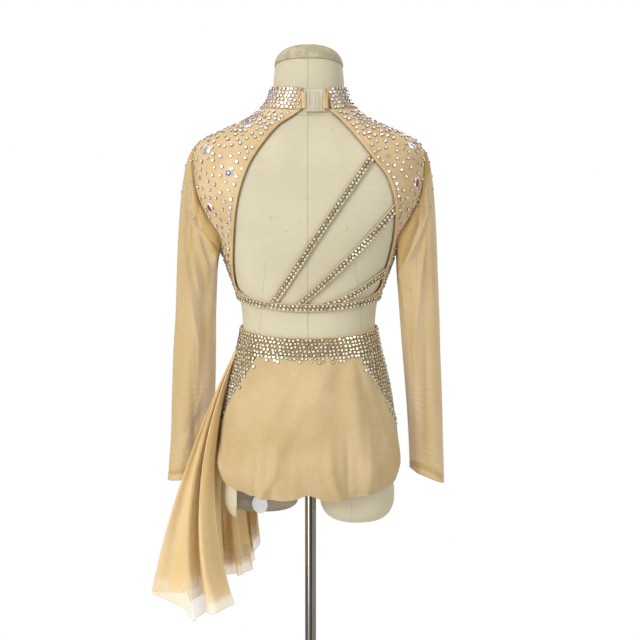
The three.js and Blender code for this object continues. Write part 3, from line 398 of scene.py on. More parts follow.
body = {
    "squareness": 2.3, "seamGap": 0.3, "clothWall": 1.2, "formLift": -2.1, "collarSeam": 1380,
    "bandTop": 1071, "bandHeight": 12.5, "waistTop": 1017, "waistHeight": 30, "hipPoint": 862,
    "armholeTop": 1320, "armholeBottom": 1146, "neckTop": 1462,
}
figure = namedTable(
    ("level", "half", "front", "back", "sideRise", "frontRise"),
    (775, 96, 66, 84, 0, 0),
    (800, 127, 84, 99, 0, 0),
    (830, 140, 92, 107, 0, 0),
    (865, 141, 95, 108, 0, 0),
    (905, 136.5, 95, 104, 1, 1),
    (940, 129.5, 92, 97, 4, 2),
    (985, 117.3, 87, 88, 9, 4),
    (1017, 111.3, 82, 82.5, 10, 6),
    (1045, 112.8, 83, 81.5, 12, 8),
    (1071, 119, 88, 84, 14, 8),
    (1100, 127.3, 96, 87.5, 9, 6),
    (1140, 139.5, 106, 91.5, 4, 2),
    (1175, 150, 111, 94, 0, 0),
    (1205, 168, 110, 94.5, 0, 0),
    (1240, 183, 100, 93, 0, 0),
    (1270, 188, 88, 90, 0, 0),
    (1295, 188.5, 77, 85, 0, -2),
    (1312, 187, 69, 79, 1, -4),
    (1322, 183, 64, 75, 2, -7),
    (1331, 175, 61, 71, 2.5, -10),
    (1340, 158, 59, 67, 3, -13),
    (1349, 137, 58, 63.5, 4, -16),
    (1358, 114, 57.5, 60, 5, -19),
    (1368, 95, 57, 57, 5.5, -22),
    (1380, 79, 57, 54.5, 6, -24),
    (1395, 67, 57, 52.5, 6, -26),
    (1412, 61, 57, 51, 5, -27),
    (1435, 59.2, 56, 50, 2, -28),
    (1462, 56.8, 55, 49, -5, -30),
)


def ovalPoint(half, depth, angle):
    c, s = np.cos(angle), np.sin(angle)
    power = 2 / body["squareness"]
    return half * np.sign(c) * np.abs(c) ** power, depth * np.sign(s) * np.abs(s) ** power


def ringHeight(level, angle):
    side = readTable(figure, "sideRise", level) * np.cos(angle) ** 2
    return level + side + readTable(figure, "frontRise", level) * ((1 - np.sin(angle)) / 2) ** 2


def figureSkin(angle, level):
    angle, level = np.broadcast_arrays(np.asarray(angle, float), np.asarray(level, float))
    front, back = readTable(figure, "front", level), readTable(figure, "back", level)
    depth = np.where(np.sin(angle) < 0, front, back)
    x, y = ovalPoint(readTable(figure, "half", level), depth, angle)
    return np.stack([x, y, ringHeight(level, angle)], -1)


def normalOf(sheet, u, v, stepU, stepV):
    along = sheet(u + stepU, v) - sheet(u - stepU, v)
    up = sheet(u, v + stepV) - sheet(u, v - stepV)
    normal = np.cross(along, up)
    return normal / np.maximum(np.linalg.norm(normal, axis=-1, keepdims=True), 1e-9)


def lifted(sheet, stepU=0.002, stepV=0.002):
    def pointAt(u, v, lift):
        lift = np.asarray(lift, float)[..., None]
        return sheet(u, v) + lift * normalOf(sheet, u, v, stepU, stepV)

    return pointAt


figurePoint = lifted(figureSkin, 0.02, 1.5)


def angleAtBack(across, level):
    share = np.minimum(1, np.abs(across) / readTable(figure, "half", level))
    angle = np.arccos(share ** (body["squareness"] / 2))
    return np.where(np.asarray(across) < 0, math.pi - angle, angle)


def angleFor(distance, angle, level):  # the angle that a small distance takes up
    step = 0.01
    reach = figureSkin(angle + step, level) - figureSkin(angle - step, level)
    return distance * 2 * step / np.linalg.norm(reach, axis=-1)


armhole = namedTable(
    ("level", "spread"), (1146, 31), (1185, 26), (1205, 20.5), (1240, 15), (1320, 14)
)
armholeMiddle = (body["armholeTop"] + body["armholeBottom"]) / 2
armholeReach = (body["armholeTop"] - body["armholeBottom"]) / 2


def armholeAngle(level):
    inside = 1 - ((np.asarray(level, float) - armholeMiddle) / armholeReach) ** 2
    return readTable(armhole, "spread", level) * np.sqrt(np.maximum(inside, 0)) * degree


def steps(count, start=0.0, end=1.0):
    return np.linspace(start, end, count + 1)


def roundTurn(count):  # angles once round, without the last
    return steps(count, 0, 2 * math.pi)[:-1]


def unit(vectors):
    return vectors / np.linalg.norm(vectors, axis=-1, keepdims=True)


def runAlong(path):  # the distance from a path's start to each of its points
    return np.concatenate([[0], np.cumsum(np.linalg.norm(np.diff(path, axis=0), axis=-1))])


foldFade = 45  # how far a fold runs on past its two ends


def foldHeight(folds, level, turn):  # turn in degrees; folds are named-column tables
    height = np.zeros(np.broadcast(level, turn).shape)
    for i in range(len(folds["depth"])):
        fold = {name: values[i] for name, values in folds.items()}
        drop = fold["startAt"] - fold["endAt"]
        t = (fold["startAt"] - level) / drop
        held = np.clip(t, 0, 1)
        off = turn - (fold["startTurn"] + (fold["endTurn"] - fold["startTurn"]) * held)
        off = (off + 180) % 360 - 180
        past = np.abs(t - held) * drop
        nearness = -((off / fold["width"]) ** 2) - (past / foldFade) ** 2
        height = height + fold["depth"] * np.exp(nearness)
    return height


foldColumns = ("startAt", "startTurn", "endAt", "endTurn", "depth", "width")


# Meshes from grids of points
def linkMesh(name, points, faces, smooth=True):
    mesh = bpy.data.meshes.new(name)
    mesh.from_pydata((np.asarray(points).reshape(-1, 3) * mm).tolist(), [], faces)
    mesh.update()
    if smooth:
        mesh.shade_smooth()
    piece = bpy.data.objects.new(name, mesh)
    bpy.context.scene.collection.objects.link(piece)
    return piece


def gridFaces(rows, columns, closed, first=0, flip=False):
    across = np.arange(columns if closed else columns - 1)
    r, c = np.meshgrid(np.arange(rows - 1) * columns, across, indexing="ij")
    n = (c + 1) % columns
    quads = np.stack([r + c, r + n, r + columns + n, r + columns + c], -1)
    quads = quads.reshape(-1, 4) + first
    return quads[:, ::-1] if flip else quads


def clothPlaces(points, closed):  # places on the flat cloth in metres, and a tube's girth
    along = np.linalg.norm(np.diff(points, axis=1), axis=-1).mean(0)
    down = np.linalg.norm(np.diff(points, axis=0), axis=-1).mean(1)
    u = np.concatenate([[0], np.cumsum(along)]) * mm
    v = np.concatenate([[0], np.cumsum(down)]) * mm
    last = np.linalg.norm(points[:, 0] - points[:, -1], axis=-1).mean() * mm
    return np.stack(np.meshgrid(u, v), -1), u[-1] + last if closed else 0.0

def storeValues(piece, name, values):
    attribute = piece.data.attributes.new(name, "FLOAT", "POINT")
    attribute.data.foreach_set("value", np.asarray(values, np.float32).ravel())


def storePlaces(piece, places, closedWidth=0.0):
    layer = piece.data.uv_layers.new(name="UVMap")
    corner = np.zeros(len(piece.data.loops), int)
    piece.data.loops.foreach_get("vertex_index", corner)
    uv = places.reshape(-1, 2)[corner]
    if closedWidth:  # the last strip of a tube runs on past its first column
        starts = np.zeros(len(piece.data.polygons), int)
        counts = np.zeros(len(piece.data.polygons), int)
        piece.data.polygons.foreach_get("loop_start", starts)
        piece.data.polygons.foreach_get("loop_total", counts)
        face = np.repeat(np.arange(len(starts)), counts)
        widest = np.maximum.reduceat(uv[:, 0], starts)
        wraps = (widest[face] > closedWidth / 2) & (uv[:, 0] < 1e-9)
        uv[wraps, 0] = closedWidth
    layer.data.foreach_set("uv", uv.astype(np.float32).ravel())


def sheetPiece(name, points, closed=False, flip=False):
    rows, columns = points.shape[:2]
    piece = linkMesh(name, points, gridFaces(rows, columns, closed, 0, flip).tolist())
    storePlaces(piece, *clothPlaces(points, closed))
    return piece


def wallPiece(name, inner, outer, closed=False):  # two grids with rims between them
    rows, columns = outer.shape[:2]
    count = rows * columns
    faces = [gridFaces(rows, columns, closed, count), gridFaces(rows, columns, closed, 0, True)]
    c = np.arange(columns if closed else columns - 1)
    n = (c + 1) % columns
    top = (rows - 1) * columns
    faces.append(np.stack([c, n, n + count, c + count], -1))
    faces.append(np.stack([top + c + count, top + n + count, top + n, top + c], -1))
    if not closed:
        r = np.arange(rows - 1) * columns
        e = r + columns - 1
        faces.append(np.stack([r, r + count, r + columns + count, r + columns], -1))
        faces.append(np.stack([e + count, e, e + columns, e + columns + count], -1))
    points = np.concatenate([inner.reshape(-1, 3), outer.reshape(-1, 3)])
    piece = linkMesh(name, points, np.concatenate(faces).tolist())
    places, width = clothPlaces(outer, closed)
    storePlaces(piece, np.tile(places.reshape(-1, 2), (2, 1)), width)
    return piece


def loftPiece(name, rings):  # rings of points, closed at both ends by fans
    rings = np.asarray(rings)
    rows, columns = rings.shape[:2]
    faces = gridFaces(rows, columns, True).tolist()
    low, high = rows * columns, rows * columns + 1
    top = (rows - 1) * columns
    faces += [[low, (i + 1) % columns, i] for i in range(columns)]
    faces += [[high, top + i, top + (i + 1) % columns] for i in range(columns)]
    ends = np.stack([rings[0].mean(0), rings[-1].mean(0)])
    points = np.concatenate([rings.reshape(-1, 3), ends])
    piece = linkMesh(name, points, faces)
    places, width = clothPlaces(rings, True)
    places = places.reshape(-1, 2)
    storePlaces(piece, np.concatenate([places, places[[0, -1]]]), width)
    return piece


def tubeAlong(name, path, radius, sides=8, closed=False):  # a fine round cord on a path
    path = np.asarray(path, float)
    way = np.roll(path, -1, 0) - np.roll(path, 1, 0) if closed else np.gradient(path, axis=0)
    way = unit(way)
    side = unit(np.cross(way, [0.31, 0.17, 0.93]))  # from any direction that no path takes
    up = np.cross(side, way)
    turn = roundTurn(sides)[:, None]
    rings = path[:, None] + radius * (side[:, None] * np.cos(turn) + up[:, None] * np.sin(turn))
    if not closed:
        return loftPiece(name, rings)
    faces = gridFaces(len(path) + 1, sides, True).reshape(-1, 4) % (len(path) * sides)
    return linkMesh(name, rings, faces.tolist())


def settle(piece, material, nodes=()):  # a piece cut from two materials gives none
    if material:
        piece.data.materials.append(looks.get(material, material))
    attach(piece, "root")
    if nodes:
        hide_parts(*nodes)
    return piece


def baked(piece):  # the piece with its modifiers applied, at the origin
    graph = bpy.context.evaluated_depsgraph_get()
    mesh = bpy.data.meshes.new_from_object(piece.evaluated_get(graph))
    name = piece.name
    bpy.data.objects.remove(piece)
    mesh.name = name
    made = bpy.data.objects.new(name, mesh)
    bpy.context.scene.collection.objects.link(made)
    return made


# The dress form: one linen-covered torso, with two thigh stumps
form = {
    "columns": 128, "thighColumns": 72, "thighBackset": 5, "cutHeight": 735,
    "cutSlope": 34, "lipInside": 123.5, "neckSeam": 1371.5, "centreSeam": 1.0,
    "princessShift": 3, "princessTop": 1142, "tab": (13, 40),
    # where the rings stand closer: up the torso, over the shoulders, up the neck
    "rings": ((776, 1320, 150), (1322, 1400, 50), (1404, 1462, 18)),
}
thighRings = namedTable(
    ("share", "level", "across", "half", "depth"),
    (0, 885, 70, 57, 76),
    (1, 840, 74, 60.5, 75),
    (2, 790, 77.5, 61, 73),
    (3, 750, 79.5, 62, 70),
    (4, 731, 79.5, 59, 66),
    (5, 717, 79.5, 50, 57),
    (6, 709, 79.5, 36, 41),
    (7, 705.5, 79.5, 17, 20),
)
princess = namedTable(
    ("level", "across"),
    (780, 66), (862, 74), (940, 80), (1017, 82), (1071, 79), (1132, 72), (1165, 76),
    (1200, 88), (1240, 110), (1270, 140), (1330, 170),
)


def markSeams(piece, points):  # how far each point lies from each covered seam
    x, y, z = points.reshape(-1, 3).T
    far = linen["seamFar"]
    fromPrincess = np.abs(x + form["princessShift"]) - readTable(princess, "across", z)
    seams = {
        "backSeam": x - form["centreSeam"],
        "princessSeam": np.where(z > form["princessTop"], far, fromPrincess),
        "neckSeam": z - form["neckSeam"],
        "sideSeam": y,
    }
    extra = np.full(len(piece.data.vertices) - len(x), far)
    for name, values in seams.items():
        storeValues(piece, name, np.concatenate([values, extra]))


def buildForm():
    levels = np.concatenate([np.linspace(*ends) for ends in form["rings"]])
    u, v = np.meshgrid(roundTurn(form["columns"]), levels)
    points = figurePoint(u, v, body["formLift"])
    torso = loftPiece("formTorso", points)
    markSeams(torso, points)
    settle(torso, "linen", ["form_body"])

    turns = roundTurn(form["thighColumns"])
    share, turn = np.meshgrid(np.linspace(0, 7, 60), turns, indexing="ij")
    ring = {key: readTable(thighRings, key, share) for key in thighRings}
    x, y = ovalPoint(ring["half"], ring["depth"], turn)
    for side, name in ((1, "formThighLeft"), (-1, "formThighRight")):
        points = np.stack([side * ring["across"] + x, form["thighBackset"] + y, ring["level"]], -1)
        thigh = loftPiece(name, points[::-1])
        markSeams(thigh, points[::-1])
        if side > 0:
            settle(cutThigh(thigh), None, ["form_body"])
        else:
            settle(thigh, "linen", ["form_body"])


def cutThigh(thigh):  # the stump ends in a slanting board, behind a lip at its outer side
    slope = math.tan(form["cutSlope"] * degree)
    inside = form["lipInside"]
    plan = [(-10, -120), (inside + 12, -120), (inside - 12, 120), (-10, 120)]
    low = [(x, y, 600) for x, y in plan]
    high = [(x, y, form["cutHeight"] + slope * y) for x, y in plan]
    sides = [[i, (i + 1) % 4, (i + 1) % 4 + 4, i + 4] for i in range(4)]
    block = linkMesh("thighCut", low + high, [[3, 2, 1, 0], [4, 5, 6, 7]] + sides, smooth=False)
    block.data.materials.append(looks["board"])
    thigh.data.materials.append(looks["linen"])
    cut = thigh.modifiers.new("cut", "BOOLEAN")
    cut.operation, cut.solver, cut.object = "DIFFERENCE", "EXACT", block
    cut.material_mode = "TRANSFER"
    made = baked(thigh)
    bpy.data.objects.remove(block)
    for face in made.data.polygons:
        if made.data.materials[face.material_index] == looks["board"]:
            face.use_smooth = False
    return made


def buildCapAndTab():
    rises = namedTable(
        ("share", "rise", "reach"),
        (0, 0.4, 0.985), (1, 0.8, 1.012), (2, 3, 1.02), (3, 8.6, 1.006), (4, 15, 0.95),
        (5, 22, 0.84), (6, 29, 0.62), (7, 34, 0.3), (8, 35.6, 0.02),
    )
    middle = np.array([0, -3.5, body["neckTop"] - 14])
    share, turn = np.meshgrid(np.linspace(0, 8, 40), roundTurn(96), indexing="ij")
    rim = figurePoint(turn, body["neckTop"], body["formLift"])
    points = middle + (rim - middle) * readTable(rises, "reach", share)[..., None]
    points[..., 2] += readTable(rises, "rise", share)
    settle(loftPiece("neckCapDome", points), "linen", ["neck_cap"])

    low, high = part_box("thigh_tab")
    middle = np.array([(a + b) / 2 for a, b in zip(low, high)]) / mm
    slope = form["cutSlope"] * degree
    out = np.array([0, math.sin(slope), -math.cos(slope)])
    up = np.array([0, math.cos(slope), math.sin(slope)])
    turn = roundTurn(48)
    wide = np.outer(np.cos(turn) * form["tab"][0], [1, 0, 0])
    tall = np.outer(np.sin(turn) * form["tab"][1], up)
    layers = ((-0.8, 0.94), (-0.7, 1.0), (0.5, 1.0), (0.8, 0.93), (0.85, 0.3))
    rings = [middle + out * lift + wide * size + tall * size for lift, size in layers]
    settle(loftPiece("thighTabOval", np.array(rings)[:, ::-1]), "tab", ["thigh_tab"])


# Pole stand: a chromed tube in a flange on a round steel plate; the flange's rows are radius
# and height over the plate
stand = {
    "radius": 9.2, "offset": -2.4, "top": 790, "plate": 180, "thickness": 8, "sides": 96,
    "poleSides": 48, "flangeSides": 64, "rounding": 2, "lift": 0.3,
    "flange": (
        (33, 0), (34, 1), (34, 3.4), (33, 4.1), (19, 6.4), (16.6, 9), (15.2, 29), (14.6, 30),
        (10, 30),
    ),
}


def turnedPiece(name, outline, offset, sides):
    turn = roundTurn(sides)
    x, y = np.cos(turn), np.sin(turn)
    rings = [np.stack([r * x + offset, r * y, np.full(sides, z)], -1) for r, z in outline]
    return loftPiece(name, np.array(rings))


def buildStand():
    r, t, plate, ease = (stand[key] for key in ("radius", "thickness", "plate", "rounding"))
    pole = [(r - 0.6, t + stand["lift"]), (r, t + 0.9)]
    pole += [(r, z) for z in np.linspace(t + 10, stand["top"], 24)]
    pole = turnedPiece("poleTube", pole, stand["offset"], stand["poleSides"])
    settle(pole, "chrome", ["stand_pole"])
    quarter = steps(6, 0, math.pi / 2)
    inside = plate - ease
    edge = [(inside + ease * math.sin(a), ease - ease * math.cos(a)) for a in quarter]
    crown = [(inside + ease * math.cos(a), t - ease + ease * math.sin(a)) for a in quarter]
    outline = [(20, 0)] + edge + crown + [(plate * k, t) for k in (0.9, 0.6, 0.3, 0.12)]
    disc = turnedPiece("basePlateDisc", outline, 0, stand["sides"])
    settle(disc, "steel", ["base_plate"])
    outline = [(radius, z + t + stand["lift"]) for radius, z in stand["flange"]]
    flange = turnedPiece("poleFlange", outline, stand["offset"], stand["flangeSides"])
    settle(flange, "chrome", ["pole_flange"])


buildForm()
buildCapAndTab()
buildStand()
print("form and stand built")


# The crop top's panels, cut on the figure between the armholes and the open back
openingLeft = namedTable(
    ("level", "across"),
    (1071, 97), (1073, 104), (1076, 110), (1080, 114.5), (1085, 117.2), (1094, 119),
    (1128, 121.4), (1182, 119.2), (1231, 113.7), (1263, 105.6), (1295, 92.9), (1325, 73.4),
    (1355, 47.6), (1368, 28), (1380, 12),
)
openingRight = namedTable(
    ("level", "across"),
    (1071, 93), (1073, 101), (1076, 107.5), (1080, 112), (1085, 115), (1094, 117.5),
    (1108, 120.5), (1134, 128.1), (1172, 135.6), (1208, 138.1), (1237, 136.1), (1273, 124.7),
    (1299, 105), (1328, 82.4), (1357, 56.5), (1380, 32),
)
top = {
    # one size sets the thin dark cord along the opening, a painted shadow
    "bindingWidth": 6.5, "shadowCord": 0.8, "bindingHeight": 1.5, "bindingColumns": 8, "rows": 60,
    "frontColumns": 120, "backColumns": 44, "boundLow": 1073, "boundHigh": 1377,
}


def leftOpening(level):
    return angleAtBack(readTable(openingLeft, "across", level), level)


def rightOpening(level):
    return angleAtBack(-readTable(openingRight, "across", level), level)


def bodiceLevels():
    low = np.concatenate([[body["bandTop"] + 0.5, 1073, 1075, 1078], np.linspace(1081, 1143, 26)])
    inArmhole = armholeMiddle - armholeReach * np.cos(steps(top["rows"]) * math.pi)
    high = np.linspace(1322, body["collarSeam"] - 0.15, 26)
    return np.concatenate([low, inArmhole, high])


def spread(start, end, count, level):  # columns between two edges, half a seam gap inside them
    start = start + angleFor(body["seamGap"] / 2, start, level)
    end = end - angleFor(body["seamGap"] / 2, end, level)
    return start[:, None] + (end - start)[:, None] * steps(count)[None]


def figureWall(name, angles, levels, inner=0.0, outer=body["clothWall"]):
    level = np.asarray(levels)[:, None]
    return wallPiece(name, figurePoint(angles, level, inner), figurePoint(angles, level, outer))


def bindingEdges(opening, level, sign):  # the binding's two edges, in angles
    run = figureSkin(opening(level + 1), level + 1) - figureSkin(opening(level - 1), level - 1)
    slant = np.minimum(np.linalg.norm(run, axis=-1) / np.abs(run[..., 2]), 5)
    angle = opening(level)
    return angle, angle - sign * angleFor(top["bindingWidth"] * slant, angle, level)


def buildBodice():
    levels = bodiceLevels()
    open_ = armholeAngle(levels)
    front = spread(-math.pi + open_, -open_, top["frontColumns"], levels)
    settle(figureWall("bodiceFront", front, levels), "knit", ["bodice_front"])
    bound = levels[(levels > top["boundLow"]) & (levels < top["boundHigh"])]
    share = steps(top["bindingColumns"])[None]
    bulge = top["bindingHeight"] * (1 - (2 * share - 1) ** 4) ** 0.5 - 0.4
    lift = body["clothWall"] + 0.1
    for side, opening, sign in (("Left", leftOpening, 1), ("Right", rightOpening, -1)):
        node = side.lower()
        ends = (open_, opening(levels)) if sign > 0 else (opening(levels), math.pi - open_)
        angles = spread(*ends, top["backColumns"], levels)
        back = figureWall("bodiceBack" + side, angles, levels)
        settle(back, "knit", ["bodice_back_" + node])
        near, far = bindingEdges(opening, bound, sign)
        first, last = (far, near) if sign > 0 else (near, far)
        angles = first[:, None] + (last - first)[:, None] * share
        binding = figureWall("binding" + side, angles, bound, lift - 0.3, lift + 0.2 + bulge)
        settle(binding, "binding", ["binding_" + node])
        # a thin dark cord along the opening's edge: painted shadow
        edge = figurePoint(near, bound, top["shadowCord"])
        settle(tubeAlong("openingShadowCord" + side, edge, top["shadowCord"], 6), "shadowCord")


buildBodice()


# The stand collar, and the moulded clasp with its loops
collar = {
    "height": 35, "flare": 1.2, "left": 9, "right": -31.6, "endLevel": 1395, "columns": 160,
    "rows": 16, "inner": 0.3, "outer": 1.7, "fold": 0.5,
}


def collarEnds(inset=0.0):  # the collar's two ends in angles, right one first
    left, right = (float(angleAtBack(collar[end], collar["endLevel"])) for end in ("left", "right"))
    return right - 2 * math.pi + inset, left - inset


def collarPoint(u, v, lift):
    rightEnd, leftEnd = collarEnds()
    level = body["collarSeam"] + 0.3 + collar["height"] * v
    return figurePoint(rightEnd + (leftEnd - rightEnd) * u, level, collar["flare"] * v + lift)


def buildCollar():
    u, v = np.meshgrid(steps(collar["columns"]), steps(collar["rows"]))
    edge = collar["fold"] * np.exp(-((1 - v) / 0.06) ** 2)  # the turned top edge is thicker
    inner, outer = collarPoint(u, v, collar["inner"]), collarPoint(u, v, collar["outer"] + edge)
    settle(wallPiece("collarStand", inner, outer), "knit", ["collar"])


# Blocks are left, right, low, high, back, front; the loops go round a bar between two places
clasp = {
    "middle": (-9.4, 56.2, 1394.6), "tilt": 5.5, "turn": 6.7, "edge": 0.5, "corner": 1.2,
    "eye": (
        (-8.6, 12.9, -17.8, 17.8, -1.1, 1.1), (12.6, 15.5, 14.4, 17.8, -1.1, 1.1),
        (12.6, 15.5, -17.8, -14.4, -1.1, 1.1), (15.2, 17.4, -17.8, 17.8, -1.1, 1.1),
        (-5.6, -3.4, -15.4, 15.4, 1.0, 2.0), (8.4, 10.6, -15.4, 15.4, 1.0, 2.0),
        (-1.2, 6.2, -12.5, 12.5, 1.0, 1.7),
    ),
    "hook": (
        (-12.7, -8.9, -17.3, 17.3, -1.1, 1.1), (-15.3, -12.4, 13.6, 17.3, -1.1, 1.1),
        (-15.3, -12.4, -17.3, -13.6, -1.1, 1.1), (-17.2, -15.0, -17.3, 17.3, -1.1, 1.1),
    ),
    "loops": (("Left", 15.8, 17.6), ("Right", -19.8, -15.6)),
    "loopRadii": (1.5, 2.6), "loopHalf": 13,
}


def claspPlace(points):  # from the clasp's own place to the neck
    a, b = clasp["turn"] * degree, clasp["tilt"] * degree
    x, y, z = np.moveaxis(np.asarray(points, float), -1, 0)
    x, y = x * math.cos(a) - y * math.sin(a), x * math.sin(a) + y * math.cos(a)
    y, z = y * math.cos(b) - z * math.sin(b), y * math.sin(b) + z * math.cos(b)
    return np.stack([x, y, z], -1) + clasp["middle"]


def roundBox(left, right, low, high, back, front):  # rings of a box with eased edges
    edge, corner = clasp["edge"], clasp["corner"]
    rings = []
    for y, inset in ((back, edge), (back + edge, 0), (front - edge, 0), (front, edge)):
        ring = []
        r = corner - inset * 0.6
        corners = ((right, high), (left, high), (left, low), (right, low))
        for (cx, cz), first in zip(corners, (0, 90, 180, 270)):
            sx, sz = (-1 if cx == right else 1), (-1 if cz == high else 1)
            for a in (first, first + 45, first + 90):
                x = cx + sx * corner + r * math.cos(a * degree)
                ring.append((x, y, cz + sz * corner + r * math.sin(a * degree)))
        rings.append(ring)
    return np.array(rings)[:, ::-1]


def joined(name, parts):  # several closed meshes as one piece
    vertices, faces, count = [], [], 0
    for part in parts:
        points = np.zeros(len(part.data.vertices) * 3)
        part.data.vertices.foreach_get("co", points)
        vertices.append(points.reshape(-1, 3) / mm)
        faces += [[i + count for i in face.vertices] for face in part.data.polygons]
        count += len(part.data.vertices)
        bpy.data.objects.remove(part)
    return linkMesh(name, np.concatenate(vertices), faces, smooth=False)


def buildClasp():
    for part in ("eye", "hook"):
        blocks = [loftPiece("claspBlock", claspPlace(roundBox(*size))) for size in clasp[part]]
        piece = joined("clasp" + part.capitalize(), blocks)
        settle(piece, "clasp", ["clasp_" + part])
    turn = roundTurn(40)
    z = steps(14, -clasp["loopHalf"], clasp["loopHalf"])[:, None]
    puff = 1 + 0.05 * np.sin(z * 0.9 + 2)
    for side, near, far in clasp["loops"]:
        middle, reach = (near + far) / 2, abs(far - near) / 2
        grids = []
        for radius in clasp["loopRadii"]:
            x = middle + np.sign(np.cos(turn)) * reach + radius * np.cos(turn)
            y = radius * np.sin(turn) * puff
            grids.append(claspPlace(np.stack(np.broadcast_arrays(x, y, z), -1)))
        loop = wallPiece("claspLoop" + side, *grids, closed=True)
        settle(loop, "binding", ["clasp_loop_" + side.lower()])


buildCollar()
buildClasp()
print("bodice, collar and clasp built")


# Bands round the body and the slanting back straps, each between two rolled edges
band = {"edge": 1.5, "edgeRise": 1.0, "columns": 256, "bustWall": 1.8, "waistWall": 1.9}
strapTable = namedTable(
    ("topX", "topLevel", "middleX", "middleLevel", "endX"),
    (-98.5, 1302, -21.3, 1190, 55.8),
    (-136.3, 1221, -65.8, 1144, 13.7),
    (-120, 1111, -75, 1084.2, -38.9),
)
straps = {"half": 5.8, "rows": 90, "lift": 0.2, "thickness": 1.4}


def nearEdge(share, height, topOnly=False):  # how far inside a strip's edges a place lies
    return ((1 - share) if topOnly else np.minimum(share, 1 - share)) * height


def rolledEdges(near):  # extra lift over a strip's rolled edges
    roll = 1 - ((near - band["edge"] / 2) / (band["edge"] / 2)) ** 2
    return band["edgeRise"] * np.sqrt(np.maximum(roll, 0))


def markPlain(piece, near):  # the rolled edges are bare of stones, on both of a wall's sides
    storeValues(piece, "plain", np.tile(np.clip(1.6 - near / band["edge"] * 0.8, 0, 1), (2, 1)))


def buildBand(name, node, topLevel, height, thickness, rows, topOnly=False):
    angles, share = np.meshgrid(roundTurn(band["columns"]), rows)
    level = topLevel - height * (1 - share)
    near = nearEdge(share, height, topOnly)
    outer = figurePoint(angles, level, thickness - 0.5 + rolledEdges(near))
    piece = wallPiece(name, figurePoint(angles, level, 0.0), outer, closed=True)
    markPlain(piece, near)
    settle(piece, "stoneShaded", [node])


def edgeRows(height, count):  # rows closer together at a strip's two edges
    edge = np.linspace(0, band["edge"], 5) / height
    inside = np.linspace(edge[-1], 1 - edge[-1], count)[1:-1]
    return np.concatenate([edge, inside, 1 - edge[::-1]])


def strapRoute(index):
    row = {name: values[index] for name, values in strapTable.items()}
    bottom = body["bandTop"] + body["seamGap"]
    start, end = np.array([row["endX"], bottom]), np.array([row["topX"], row["topLevel"]])
    bend = 2 * np.array([row["middleX"], row["middleLevel"]]) - (start + end) / 2

    def beside(side, t):  # a point beside the route, which goes straight on past its ends
        held = np.clip(t, 0, 1)[..., None]
        at = (1 - held) ** 2 * start + 2 * held * (1 - held) * bend + held**2 * end
        way = 2 * (1 - held) * (bend - start) + 2 * held * (end - bend)
        way = way / np.linalg.norm(way, axis=-1, keepdims=True)
        length = np.linalg.norm(end - start)
        at = at + way * (np.asarray(t)[..., None] - held) * length
        side = np.asarray(side)[..., None]
        return at + side * np.stack([-way[..., 1], way[..., 0]], -1)

    def crossing(side, near, far, isPast):
        near, far = np.full(side.shape, near), np.full(side.shape, far)
        for _ in range(30):
            t = (near + far) / 2
            past = isPast(beside(side, t))
            near, far = np.where(past, near, t), np.where(past, t, far)
        return (near + far) / 2

    def startAndEnd(side):
        low = crossing(side, -0.15, 0.35, lambda p: p[..., 1] > bottom)
        edge = lambda p: p[..., 0] < 0.5 - readTable(openingRight, "across", p[..., 1])
        return low, crossing(side, 0.6, 1.15, edge)

    return beside, startAndEnd


def strapPoint(index, u, v, lift):  # u across from 0 to 1, v up from the band
    beside, startAndEnd = strapRoute(index)
    side = (2 * u - 1) * straps["half"]
    low, high = startAndEnd(side)
    p = beside(side, low + (high - low) * v)
    return figurePoint(angleAtBack(p[..., 0], p[..., 1]), p[..., 1], lift)


def buildStraps():
    width, lift = 2 * straps["half"], straps["lift"]
    u, v = np.meshgrid(edgeRows(width, 6), steps(straps["rows"]))
    near = nearEdge(u, width)
    outer = lift + straps["thickness"] - 0.5 + rolledEdges(near)
    for index in range(3):
        walls = strapPoint(index, u, v, lift), strapPoint(index, u, v, outer)
        piece = wallPiece("backStrap" + str(index + 1), *walls)
        markPlain(piece, near)
        settle(piece, "stoneShaded", ["back_strap_" + str(index + 1)])


def buildBands():
    bust, waist = body["bandHeight"], body["waistHeight"]
    rows = edgeRows(bust, 7)
    buildBand("underbustBand", "underbust_band", body["bandTop"], bust, band["bustWall"], rows)
    rows = np.concatenate([np.linspace(0, 0.9, 18), 1 - np.linspace(1.5, 0, 6) / waist])
    buildBand("waistBand", "waistband", body["waistTop"], waist, band["waistWall"], rows, True)


buildBands()
buildStraps()
print("bands and straps built")


